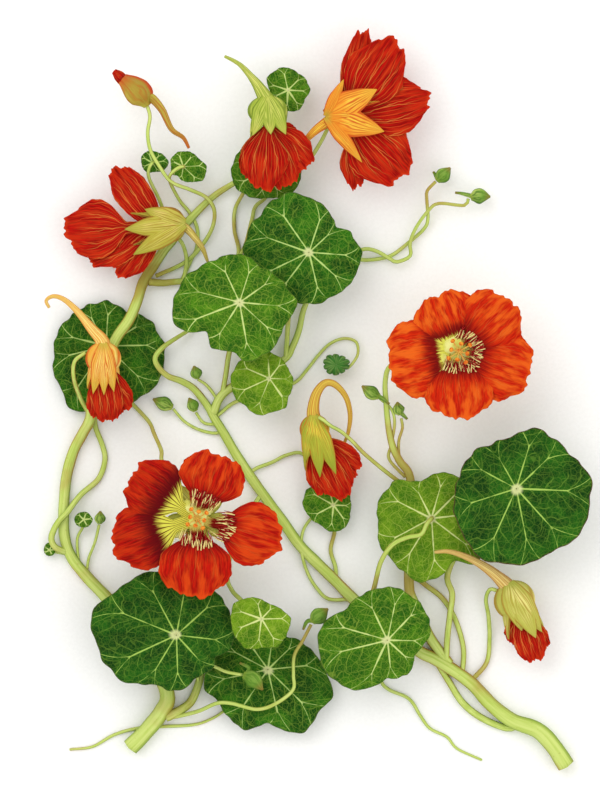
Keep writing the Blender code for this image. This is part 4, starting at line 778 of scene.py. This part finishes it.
# A leaf is a polar sheet. Its rim is the reach, smoothed, times a fine scallop. Its height is the dish
# and the wave of the solid, less a furrow along each main vein, plus pads between them.
def leafPart(at, height, reach, lobes, wave, dish, extra=(), turns=216, rings=30, veins=9, pad=0.55):
    known = np.array(sorted([(360.0 * i / len(reach), r) for i, r in enumerate(reach)] + list(extra)))
    degrees = np.concatenate([known[:, 0] - 360, known[:, 0], known[:, 0] + 360])
    angle = np.arange(turns) * twoPi / turns
    rim = np.interp(np.degrees(angle), degrees, np.tile(known[:, 1], 3))
    soft = np.array([1, 2, 3, 2, 1]) / 9
    for _ in range(2):
        rim = sum(w * np.roll(rim, k - 2) for k, w in enumerate(soft))
    jitter = np.random.default_rng(int(at[0] * 7 + at[1]))
    starts = (np.arange(veins) + 0.22 * jitter.uniform(-1, 1, veins)) * twoPi / veins
    edges = np.sort(starts % twoPi)
    edges = np.concatenate([[edges[-1] - twoPi], edges, [edges[0] + twoPi]])
    veinPhase = np.interp(angle, edges, np.arange(-1, veins + 1))
    spacing = np.interp(angle, 0.5 * (edges[1:] + edges[:-1]), np.diff(edges))
    near = np.abs(veinPhase - np.round(veinPhase))
    scallop = 0.01 * np.cos(lobes * 2 * angle)
    rim = rim * (1 + scallop + 0.09 * (0.25 - near) * (0.6 + 0.4 * np.cos(3 * angle)))
    rim = rim * (1 + 0.007 * np.sin(17 * angle) + 0.005 * np.sin(29 * angle + 1))
    share = np.linspace(0.004, 1, rings)[:, None] ** 0.85
    x, y = share * rim * np.cos(angle), share * rim * np.sin(angle)
    rad = share * rim * drawUnit / mm
    arc = spacing * rad
    rise = dish * share ** 2 + wave * share ** 2 * np.cos(lobes * angle)
    rise = rise - 0.35 * np.exp(-(near * arc / 0.8) ** 2) * np.minimum(1, rad / 4)
    pads = np.sin(np.clip(near * 2, 0, 1) * np.pi / 2)
    rise = rise + pad * pads * np.sin(np.pi * np.clip(share, 0, 1)) * (0.6 + 0.4 * np.sin(rad * 1.35))
    rise = rise + 0.5 * share ** 5 * np.sin(3 * lobes * angle)
    upper = np.stack([(at[0] + x - planCentre[0]) * drawUnit, (planCentre[1] - at[1] + y) * drawUnit,
                      (height + rise) * mm], axis=2)
    lower = upper - np.array([0, 0, 0.5 * mm])
    points, quads, uv, tone = skinPart(upper, lower, True, arc / 10)
    column = (quads % (rings * turns)) % turns
    ringShare = (quads % (rings * turns)) // turns / (rings - 1)
    value = veinPhase[column]
    value = value + np.where(value.max(axis=1, keepdims=True) - value > veins / 2, veins, 0)
    uv = np.stack([value / veinScale, ringShare], axis=2)
    return points, quads, uv, tone


# Grid and relief of a leaf by its longest reach: up to 12 tiny, up to 45 small, else full.
tinyLeaf = dict(turns=72, rings=10, veins=5, pad=0.1)
smallLeaf = dict(turns=120, rings=18, veins=7, pad=0.3)


# One piece for each leaf, in its own look.
def buildLeaves():
    for name, facts in leaves.items():
        size = max(facts["reach"])
        grid = tinyLeaf if size <= 12 else smallLeaf if size < 45 else {}
        shape = {key: value for key, value in facts.items() if key != "tint"}
        tint = facts["tint"]
        skin = leafMaterials[leafTints.get(name, tint)]
        makePiece("fine_" + name, [leafPart(**shape, **grid)], skin, name)


buildLeaves()
print("leaves built")


# One piece for each stem: its vine, its branches and its stalks.
def buildStems():
    vineGrid = (24, 1.5, 5, 0.03, 0.03)
    left = [stalkPart(leftVine, leftVineThick, *vineGrid)]
    left += [stalkPart(rows, thick, 14, 1.3) for rows, thick in leftStalks]
    makePiece("fine_stem_left", left, stemSkin, "stem_left")
    right = [stalkPart(rightVine, rightVineThick, *vineGrid),
             stalkPart(rightBranch, rightBranchThick, 18, 1.5),
             stalkPart(rightFork, rightForkThick, 16, 1.4)]
    right += [stalkPart(rows, thick, 14, 1.3) for rows, thick in rightStalks]
    makePiece("fine_stem_right", right, stemSkin, "stem_right")


buildStems()
print("stems built")


# Blooms. core is the middle of the calyx and half its half sizes. A bloom seen from its side has the
# plan direction ahead, its sepals' tips and widths, and the height of its throat. One seen from the
# front has a ring of sepals, a throat with its size, a hood of lobes (spot, sizes, turn), and fringed,
# the numbers of its lower petals. Each spur has its rows and radii; each petal its tip, its width and
# what differs from the bloom's own petal settings.
flowers = {
    "flower_1": dict(
        core=(338, 118, 22), ahead=(1, 0.0), half=(7.0, 5.0, 5.6), throatHeight=20.5,
        sepals=[((376.5, 91, 25), 27), ((383.7, 133, 24.6), 27), ((361.7, 163.6, 24), 14),
                ((343.5, 81, 23.5), 12), ((362, 118, 24.6), 18)],
        spur=[(333, 120, 22), (322, 127, 21.5), (314, 133, 20), (302, 145, 16.5)],
        spurThick=(2.6, 2.0, 1.5, 1.0), petal=dict(bulge=-0.8, ruffle=1.8),
        petals=[((364, 32, 19), 30, dict(bulge=-0.5, ruffle=1.6, phase=0.5, foot=0.1, droop=0.3)),
                ((396, 43, 20.5), 60, dict(ruffle=1.6, phase=1.5, foot=0.15, droop=0.3)),
                ((428, 99, 20), 60, dict(phase=2.5, foot=0.1, taper=0.3)),
                ((403, 178, 20), 66, dict(phase=2.2, foot=0.15, droop=0.3)),
                ((356, 189, 18.5), 26, dict(bulge=-0.5, ruffle=1.4, phase=1.2, foot=0.4, full=0.75))]),
    "flower_2": dict(
        core=(268, 114, 22), ahead=(0.02, 1), half=(8.2, 5.2, 7.4), throatHeight=22,
        sepals=[((253, 137, 25.5), 18), ((271, 136, 27), 20), ((286, 136, 25.5), 18)],
        spur=[(268, 104, 22), (261, 92, 22.5), (254.4, 82.3, 23), (243, 69, 23), (235, 63, 22.5),
              (225, 58, 22)],
        spurThick=(3.6, 2.4, 1.4, 0.9, 0.6), petal=dict(ruffle=1.4, foot=0.1, claw=0.2),
        petals=[((250, 180, 20.5), 34, dict(bulge=0.4, phase=0.5)),
                ((263, 191, 24), 46, dict(bulge=1.8, ruffle=1.6, phase=1.2, droop=0.3)),
                ((287, 188, 21.5), 40, dict(bulge=0.8, ruffle=1.6, phase=2.0)),
                ((307, 169, 20.8), 40, dict(bulge=0.5, phase=1.5)),
                ((296, 145, 19.8), 26, dict(bulge=0.2, ruffle=1.0, phase=0.8))]),
    "flower_3": dict(
        core=(168.4, 226, 16), ahead=(-1, 0.1), half=(7.4, 5.2, 7.8), throatHeight=15.4,
        sepals=[((125.3, 230, 19), 22), ((134, 255.4, 18.5), 20), ((145.4, 210, 19), 20)],
        spur=[(178, 225, 16), (187, 229, 16.5), (195, 238, 17), (203, 249, 17), (208, 262, 16)],
        spurThick=(2.0, 1.5, 1.1, 0.6), petal=dict(bulge=-0.6, ruffle=1.6),
        petals=[((66, 231, 15), 60, dict(ruffle=1.8, phase=0.7, foot=0.35, full=0.7, claw=0.2)),
                ((115, 169.5, 15), 36, dict(phase=1.7, claw=0.4)),
                ((118, 275, 14), 36, dict(ruffle=1.4, phase=2.3)),
                ((88, 258, 13.5), 40, dict(phase=0.2, foot=0.2))]),
    "flower_4": dict(
        core=(104.5, 361, 19.5), ahead=(0.0, 1), half=(7.4, 5.6, 8.2), throatHeight=19,
        sepals=[((94, 394, 23), 15), ((105, 395, 24.4), 15), ((115, 392, 23), 15)],
        spur=[(105, 350, 19.5), (102, 340, 19.8), (93, 329.6, 20), (78, 311.4, 18.5), (65, 300, 17),
              (54, 296.6, 15.5), (47, 301, 14.5), (50, 308, 14)],
        spurThick=(3.4, 2.3, 1.6, 1.2, 0.9, 0.6), petal=dict(ruffle=1.0, claw=0.6),
        petals=[((98, 419, 18), 26, dict(bulge=0.8, phase=0.7)),
                ((110, 421, 19.5), 32, dict(bulge=1.2, ruffle=1.2, phase=1.7)),
                ((127, 411, 17.5), 30, dict(bulge=0.4, phase=2.3))]),
    "flower_5": dict(
        core=(315, 431, 15.5), ahead=(0.1, 1), half=(6.2, 5.2, 7.2), throatHeight=15,
        sepals=[((305, 462, 18), 17), ((336, 474, 17.5), 17), ((320, 477, 18.5), 17)],
        spur=[(314, 421, 15.5), (313, 409, 15.5), (316.4, 393.6, 15), (325, 383.3, 14), (335.4, 385, 13),
              (345.7, 397, 11.5), (350, 414, 10.5), (348.3, 431.5, 9.5), (344, 443.5, 9)],
        spurThick=(3.0, 2.2, 1.6, 1.3, 1.1, 0.9, 0.6), petal=dict(bulge=0.3, ruffle=1.2),
        petals=[((322, 494, 13), 28, dict(phase=0.7)),
                ((345, 497, 12.8), 38, dict(ruffle=1.4, phase=1.7)),
                ((358, 472, 12.5), 34, dict(bulge=-0.2, phase=2.3))]),
    "flower_6": dict(
        core=(458, 352, 22), half=(6.4, 6.4, 5.6), petalLook="orange", fringed=(1, 2, 3),
        ring=dict(inner=6, outer=42, turn=0.35, low=25.2, high=28.5),
        spur=[(458, 352, 19), (468, 345, 14), (482, 337, 10), (500, 330, 7)], spurThick=(3.2, 2.2, 1.5, 0.9),
        throat=(458, 352, 30), size=(5.0, 5.0, 1.5),
        hood=[((453, 345, 30.5), (5.6, 4.0, 3.6), 0.35), ((441, 358, 30), (2.6, 4.8, 3.2), 0.5)],
        petal=dict(ruffle=1.8, claw=0.35),
        petals=[((437, 295, 35), 66, dict(bulge=2.2, phase=0.5, claw=0.45)),
                ((510, 303, 36), 66, dict(bulge=2.4, phase=1.2, claw=0.4)),
                ((528, 375, 35), 70, dict(bulge=2.2, phase=2.0)),
                ((458, 418, 37), 68, dict(bulge=2.6, phase=1.6)),
                ((388, 364, 36), 78, dict(bulge=2.4, phase=0.9, claw=0.45))]),
    "flower_7": dict(
        core=(198, 517.6, 25.5), half=(6.0, 6.0, 5.0), petalLook="crimson", fringed=(1, 3, 4),
        ring=dict(inner=5, outer=46, turn=0.95, low=28, high=30.8),
        spur=[(198, 517.6, 24), (186, 522, 18), (172, 527, 14), (155, 530, 10)],
        spurThick=(3.0, 2.2, 1.5, 0.9), throat=(198, 517.6, 32.4), size=(4.4, 4.4, 1.4),
        hood=[((190, 506, 32.6), (3.8, 2.6, 2.0), -0.5), ((180, 531, 32.4), (3.2, 2.0, 1.6), 0.75),
              ((208, 510, 32.4), (2.4, 2.0, 1.6), 0.4)],
        petal=dict(ruffle=1.8, foot=0.24, full=0.68, claw=0.2),
        petals=[((133, 474, 38), 64, dict(bulge=2.0, phase=0.5)),
                ((221, 454, 39), 66, dict(bulge=2.2, phase=1.2, foot=0.2, full=0.6)),
                ((115, 546, 38), 66, dict(bulge=2.0, phase=2.0)),
                ((195, 595, 39), 72, dict(bulge=2.4, phase=1.6, foot=0.18, full=0.55)),
                ((281, 541, 38), 64, dict(bulge=2.2, phase=0.9, full=0.64, claw=0.15))]),
    "flower_8": dict(
        core=(515, 602, 13.5), ahead=(0.34, 1), half=(8.6, 5.6, 9.6), throatHeight=13.2,
        sepals=[((521, 630, 17), 24), ((541, 631, 17), 22), ((535, 637, 18), 25)],
        spur=[(511, 592, 13.5), (503, 582, 14.2), (487.5, 568.7, 17), (468.4, 557.5, 19.6),
              (449, 551, 20.4), (434, 551.5, 20.2)],
        spurThick=(3.8, 2.4, 1.6, 1.1, 0.6), petal=dict(bulge=0.2, ruffle=0.8),
        petals=[((513, 643, 13), 24, dict(phase=0.7)),
                ((536, 660, 13), 32, dict(bulge=0.5, ruffle=1.0, phase=1.7)),
                ((545, 648, 13), 24, dict(phase=2.3))]),
}


# Plan points at even steps round a middle.
def around(x, y, reach, turn, count=5):
    steps = [turn + twoPi * i / count for i in range(count)]
    return [(x + reach * math.cos(a), y - reach * math.sin(a)) for a in steps]


# The calyx of a bloom seen from the front: an egg, and sepals that lie under the petals.
def frontCalyx(core, half, ring):
    parts = [eggPart(place(*core), half, ((1, 0, 0), (0, -1, 0), (0, 0, 1)), ribs=11, rib=0.035)]
    roots, tips = (around(core[0], core[1], ring[key], ring["turn"]) for key in ("inner", "outer"))
    for root, tip in zip(roots, tips):
        parts.append(sepalPart((*root, ring["low"]), (*tip, ring["high"]), 24, 0.9, 0.2))
    return parts


# The calyx of a bloom seen from its side: an egg lying ahead, two sepals down its flanks, and the
# listed ones, which start behind the egg and arch over it.
def sideCalyx(core, ahead, half, sepals):
    forward = unit(np.array([ahead[0], -ahead[1], 0.0], float))
    across = unit(np.cross(forward, (0.0, 0.0, 1.0)))
    seat = place(*core) - 0.12 * half[2] * mm * forward
    body = (half[0], half[1], 0.86 * half[2])
    parts = [eggPart(seat, body, (across, np.cross(across, forward), forward), ribs=11, rib=0.035)]
    ax, ay = unit(np.array(ahead, float)) * mm / drawUnit
    back = (core[0] - ax * half[2] * 0.92, core[1] - ay * half[2] * 0.92, core[2] + 0.45 * half[1])
    far = max(np.hypot(tip[0] - core[0], tip[1] - core[1]) for tip, _ in sepals) * 0.8
    for side in (-1, 1):
        tip = (core[0] + ax * far * 0.42 - side * ay * half[0] * 0.9,
               core[1] + ay * far * 0.42 + side * ax * half[0] * 0.9, core[2] + 1.0)
        out = np.array([-side * ay, -side * ax, 0.0]) * 2 + (0, 0, 2.0)
        parts.append(sepalPart((back[0], back[1], core[2]), tip, 19, 2.2, 1.2, facing=out))
    for tip, width in sepals:
        arch = core[2] + half[1] + 0.7 - 0.5 * (back[2] + tip[2])
        parts.append(sepalPart(back, tip, width * 1.05, arch))
    return parts


# Fine filaments rise where a lower petal's claw meets its blade and lean towards the middle of the
# bloom. Each is a short tapered tube through three points; tone picks a dark or a pale one.
def fringeParts(start, end, width, foot, count=64):
    base, tip = place(*start), place(*end)
    ahead = unit(tip - base)
    across = unit(np.cross((0, 0, 1.0), ahead))
    length = np.linalg.norm(tip - base)
    parts = []
    for k in range(count):
        side = 2 * (k + chance.uniform(0, 1)) / count - 1
        pale = k % 5 < 2
        share = foot + 0.06 + chance.uniform(0.02, 0.14) - 0.05 * side ** 2
        root = base + ahead * length * share + across * side * width + (0, 0, (1.4 + 2.4 * share) * mm)
        lean = across * (-0.3 * side + chance.uniform(-0.3, 0.3)) - ahead * chance.uniform(0.8, 1.1)
        tall = chance.uniform(3.2, 6.0) * mm
        bend, peak = root + (0.5 * lean + (0, 0, 0.3)) * tall, root + (lean + (0, 0, 0.12)) * tall
        path = curveThrough([root, bend, peak], 0.9 * mm)
        points, quads, uv, tone = tubePart(path, np.linspace(0.3, 0.06, len(path)) * mm, 6)
        parts.append((points, quads, uv, 0 * tone + pale))
    return parts


# A petal of a front bloom starts 0.4 of the throat's size out from its middle.
def petalRoot(throat, size, tip):
    out = unit(np.array([tip[0] - throat[0], tip[1] - throat[1]])) * 0.4 * size[0] * mm / drawUnit
    return (throat[0] + out[0], throat[1] + out[1], throat[2])


# A bloom seen from the front: upper petals, a throat with its hood, and lower petals with a fringe.
def buildFront(name, facts):
    parts = {"petals": [], "lower": [], "fringe": []}
    throat, size = facts["throat"], facts["size"]
    for k, (tip, width, own) in enumerate(facts["petals"]):
        settings = {**facts["petal"], **own}
        root = petalRoot(throat, size, tip)
        lower = k in facts["fringed"]
        parts["lower" if lower else "petals"].append(petalPart(root, tip, width, **settings))
        if lower:
            parts["fringe"] += fringeParts(root, tip, 0.24 * width * drawUnit, settings.get("foot", 0.1))
    lobes = [eggPart(place(*throat), size, ribs=5, rib=0.08)]
    lobes += [eggPart(place(*spot), sizes, turned(turn), ribs=9, rib=0.04)
              for spot, sizes, turn in facts["hood"]]
    look = facts["petalLook"]
    skins = {"throat": throatSkin, "petals": petalMaterials[look],
             "lower": petalMaterials[look + "Fringed"], "fringe": fringeSkin}
    for suffix, made in {"throat": lobes, **parts}.items():
        makePiece("fine_" + name + "_" + suffix, made, skins[suffix], name + "_petals")


# A bloom seen from its side: petals that start 0.55 of the way along the calyx, under the sepals,
# round a small closed throat a little past the calyx.
def buildSide(name, facts):
    core, half = facts["core"], facts["half"]
    heading = unit(np.array(facts["ahead"], float))
    ax, ay = heading * half[2] * 0.55 * mm / drawUnit
    root = (core[0] + ax, core[1] + ay, core[2] + 0.55 * half[1])
    parts = [petalPart(root, tip, width, **{**facts["petal"], **own}) for tip, width, own in facts["petals"]]
    mx, my = heading * (half[2] + seatGap + throatSize) * mm / drawUnit
    mouth = place(core[0] + mx, core[1] + my, facts["throatHeight"])
    parts.append(eggPart(mouth, (throatSize,) * 3, ribs=5, rib=0.08))
    makePiece("fine_" + name + "_petals", parts, petalMaterials["deepRed"], name + "_petals")


# A calyx, a spur and petals for each bloom.
def buildFlowers():
    for name, facts in flowers.items():
        front = "ring" in facts
        look = "hidden" if front else name
        if front:
            cups = frontCalyx(facts["core"], facts["half"], facts["ring"])
        else:
            cups = sideCalyx(facts["core"], facts["ahead"], facts["half"], facts["sepals"])
        spurs = [stalkPart(facts["spur"], facts["spurThick"], 24, 0.8, 9, 0.05)]
        makePiece("fine_" + name + "_calyx", cups, stripeMaterials[look], name + "_calyx")
        makePiece("fine_" + name + "_spur", spurs, spurMaterials[look], name + "_calyx")
        (buildFront if front else buildSide)(name, facts)


# Eight stamens rise from a small cushion, bend outwards, and end in anthers.
def buildStamens(name, middle, reach, count=8):
    x, y, z = middle
    parts = [eggPart(place(x, y, z), (1.6, 1.6, 1.1), turns=24, bands=14)]
    heads = []
    for k in range(count):
        turn = twoPi * (k + 0.3) / count
        spread = (reach if k % 2 else 0.65 * reach) * mm / drawUnit
        dx, dy = spread * math.cos(turn), spread * math.sin(turn)
        rows = [(x, y, z), (x + 0.5 * dx, y + 0.5 * dy, z + 2.2), (x + dx, y + dy, z + 3.6)]
        parts.append(stalkPart(rows, (0.42, 0.3, 0.22), 12, 0.4))
        head = place(x + 1.05 * dx, y + 1.05 * dy, z + 3.8)
        heads.append(eggPart(head, (0.75, 1.15, 0.65), turned(-turn), 20, 12, 2, 0.12))
    makePiece("fine_" + name, parts, stamenSkin, name)
    makePiece("fine_" + name + "_anthers", heads, antherSkin, name)


buildFlowers()
buildStamens("flower_6_stamens", (458, 352, 33.2), 5.0)
buildStamens("flower_7_stamens", (198, 517.6, 35.4), 4.4)
print("flowers built")

# Small closed buds: the axis (base to tip), the widest radius, and the spur's path.
buds = {
    "bud_01": dict(axis=[(436.5, 181, 7.2), (443, 175, 7.4), (450, 168, 7.4)], wide=3.2,
                   spur=[(438, 180, 7.2), (433, 172, 7.2)]),
    "bud_02": dict(axis=[(470.5, 197.5, 7.2), (479, 196, 7.4), (490, 197, 7.4)], wide=3.4,
                   spur=[(473, 197, 7.2), (462, 194, 7), (455, 193, 6.6)]),
    "bud_03": dict(axis=[(197.5, 378.5, 5.4), (196, 373, 6), (194, 366, 6.4)], wide=2.6, spur=[]),
    "bud_04": dict(axis=[(172.5, 407.5, 3.4), (164, 404, 3.6), (153, 399, 3.6)], wide=3.1, spur=[]),
    "bud_05": dict(axis=[(195.5, 411, 4), (192.5, 405, 4.4), (189, 398, 4.6)], wide=2.6, spur=[]),
    "bud_06": dict(axis=[(379, 397, 13.5), (371, 393, 13.8), (361.7, 386, 14)], wide=3.0,
                   spur=[(378, 396, 13.8), (383, 399, 15.2), (389, 404, 16)]),
    "bud_07": dict(axis=[(400, 414.5, 13.4), (398, 409, 14), (397, 402, 14.4)], wide=2.6,
                   spur=[(400, 412, 13.6), (407, 419, 13)]),
    "bud_08": dict(axis=[(312, 621, 13.4), (318, 615.6, 14), (327.8, 608, 14)], wide=3.6,
                   spur=[(313, 620, 13.2), (307, 621, 13.6), (303, 629, 14.4)]),
    "bud_09": dict(axis=[(243.7, 674, 13.4), (253, 678, 14), (262.8, 689, 14.4)], wide=3.6,
                   spur=[(246, 674, 13.6), (249, 667, 13.8), (240, 662, 14)]),
    "bud_10": dict(axis=[(99.5, 523.5, 5), (100, 518.5, 5.4), (100.5, 511, 5.6)], wide=2.4, spur=[]),
}
# The closed bloom: axes and radii of its calyx and of the petals' tip, and its spur.
closedBloom = dict(
    axis=[(148, 107, 18), (142, 98, 18), (132, 88, 18), (123, 80.5, 18)], profile=(1.4, 5.3, 5.7, 4.4, 2.4),
    spur=[(146, 100, 18), (152, 99, 18.4), (162.6, 111, 18.6), (172, 130, 18), (183.7, 138.7, 17.4),
          (189.4, 149, 16.8)], spurThick=(2.0, 1.5, 1.1, 0.6),
    tipAxis=[(123.4, 81, 18), (119, 76.5, 18), (114.6, 72.5, 18)], tipProfile=(2.2, 2.0, 1.0))
pod = dict(middle=(336, 364.5, 7.2), sizes=(5.7, 4.5, 3.6))


# A turned body: radii spread evenly along a short axis and softened, folded by a few lengthwise ribs.
def turnedPart(axis, profile, ribs=5, rib=0.07, sides=40, step=0.25):
    path = curveThrough([place(*row) for row in axis], step * mm)
    run = runAlong(path)
    share = run / run[-1]
    known = np.linspace(0, 1, len(profile))
    samples = np.linspace(0, 1, 60)
    soft = np.pad(np.interp(samples, known, profile), 5, mode="edge")
    soft = np.convolve(soft, np.ones(11) / 11, mode="valid")
    radii = np.minimum(np.interp(share, samples, soft), np.interp(share, known, profile) + 0.4) * mm
    return tubePart(path, radii, sides, ribs, rib)


# The pod: an egg seen from its top, with ten round ribs and three wider swellings.
def podPart(middle, sizes, turns=120, bands=32, ribs=10):
    lat, lon = ballAngles(turns, bands)
    groove = 1 - 0.15 * (1 - np.abs(np.sin(ribs * lon / 2))) ** 2 * np.cos(lat) ** 0.5
    swell = groove * (1 + 0.05 * np.cos(3 * lon - 0.5))
    dent = 0.25 * np.exp(-((lat - np.pi / 2) / 0.3) ** 2)
    local = ballPoints(lat, lon, swell, np.sin(lat) - dent) * np.asarray(sizes) * mm
    return gridPart(place(*middle) + local)


# The small buds, the pod, and the closed bloom with the tip of its petals.
def buildBuds():
    for name, facts in buds.items():
        wide = facts["wide"]
        parts = [turnedPart(facts["axis"], (0.35 * wide, 0.9 * wide, wide, 0.62 * wide, 0.3))]
        if facts["spur"]:
            parts.append(stalkPart(facts["spur"], (1.0, 0.8, 0.5), 20, 0.5, 5, 0.05))
        makePiece("fine_" + name, parts, stripeMaterials["bud"], name)
    makePiece("fine_seed_pod", [podPart(**pod)], spurMaterials["pod"], "seed_pod")
    closed = [turnedPart(closedBloom["axis"], closedBloom["profile"], 5, 0.1),
              stalkPart(closedBloom["spur"], closedBloom["spurThick"], 22, 0.6, 7, 0.05)]
    makePiece("fine_flower_9_calyx", closed, stripeMaterials["flower_9"], "flower_9_calyx")
    tip = [turnedPart(closedBloom["tipAxis"], closedBloom["tipProfile"], 6, 0.16)]
    makePiece("fine_flower_9_petals", tip, petalMaterials["deepRed"], "flower_9_petals")


buildBuds()
print("buds built")

# Lamps: where they stand in metres, their size in metres and their power in watts.
lamps = {"key": dict(spot=(-0.55, 0.6, 1.1), size=1.2, power=5.0),
         "fill": dict(spot=(0.8, -0.3, 0.9), size=1.4, power=2.2)}


# A wide matt sheet under the plant, a large soft light from the upper left, a weaker one from the
# right, and an even white surround.
def buildStage():
    bpy.ops.mesh.primitive_plane_add(size=6.0, location=(0, 0, 0))
    floor = bpy.context.object
    floor.name = "floor"
    paper = Graph("paper", roughness=0.95, specular=0.1)
    grain = paper.noise(paper.place(), 700.0, 4.0, 0.6)
    tint = paper.mix(paper.step(grain, 0.35, 0.65), (0.94, 0.94, 0.93), (0.97, 0.97, 0.96))
    floor.data.materials.append(paper.finish(tint, grain, 0.12, 0.0002))
    for name, facts in lamps.items():
        lamp = bpy.data.lights.new(name, "AREA")
        lamp.shape = "DISK"
        lamp.size = facts["size"]
        lamp.energy = facts["power"]
        holder = bpy.data.objects.new(name, lamp)
        bpy.context.scene.collection.objects.link(holder)
        holder.location = facts["spot"]
        holder.rotation_euler = Vector(facts["spot"]).to_track_quat("Z", "Y").to_euler()
    world = bpy.data.worlds.new("soft surround")
    world.use_nodes = True
    sky = world.node_tree.nodes["Background"]
    sky.inputs["Color"].default_value = (1.0, 0.99, 0.97, 1.0)
    sky.inputs["Strength"].default_value = 0.98
    bpy.context.scene.world = world
    bpy.context.scene.view_settings.view_transform = "Standard"


# The camera looks straight down on the middle of the drawing, far enough away to flatten it.
def buildCamera(reach=4.5, frameHeight=0.336, middle=(300, 400)):
    lens = bpy.data.cameras.new("camera")
    lens.sensor_width = 36.0
    lens.lens = 36.0 * reach / frameHeight
    lens.clip_end = 50.0
    camera = bpy.data.objects.new("camera", lens)
    bpy.context.scene.collection.objects.link(camera)
    x, y, _ = place(*middle, 0)
    camera.location = (x, y, reach)
    bpy.context.scene.camera = camera


buildStage()
buildCamera()
print("stage and camera ready")
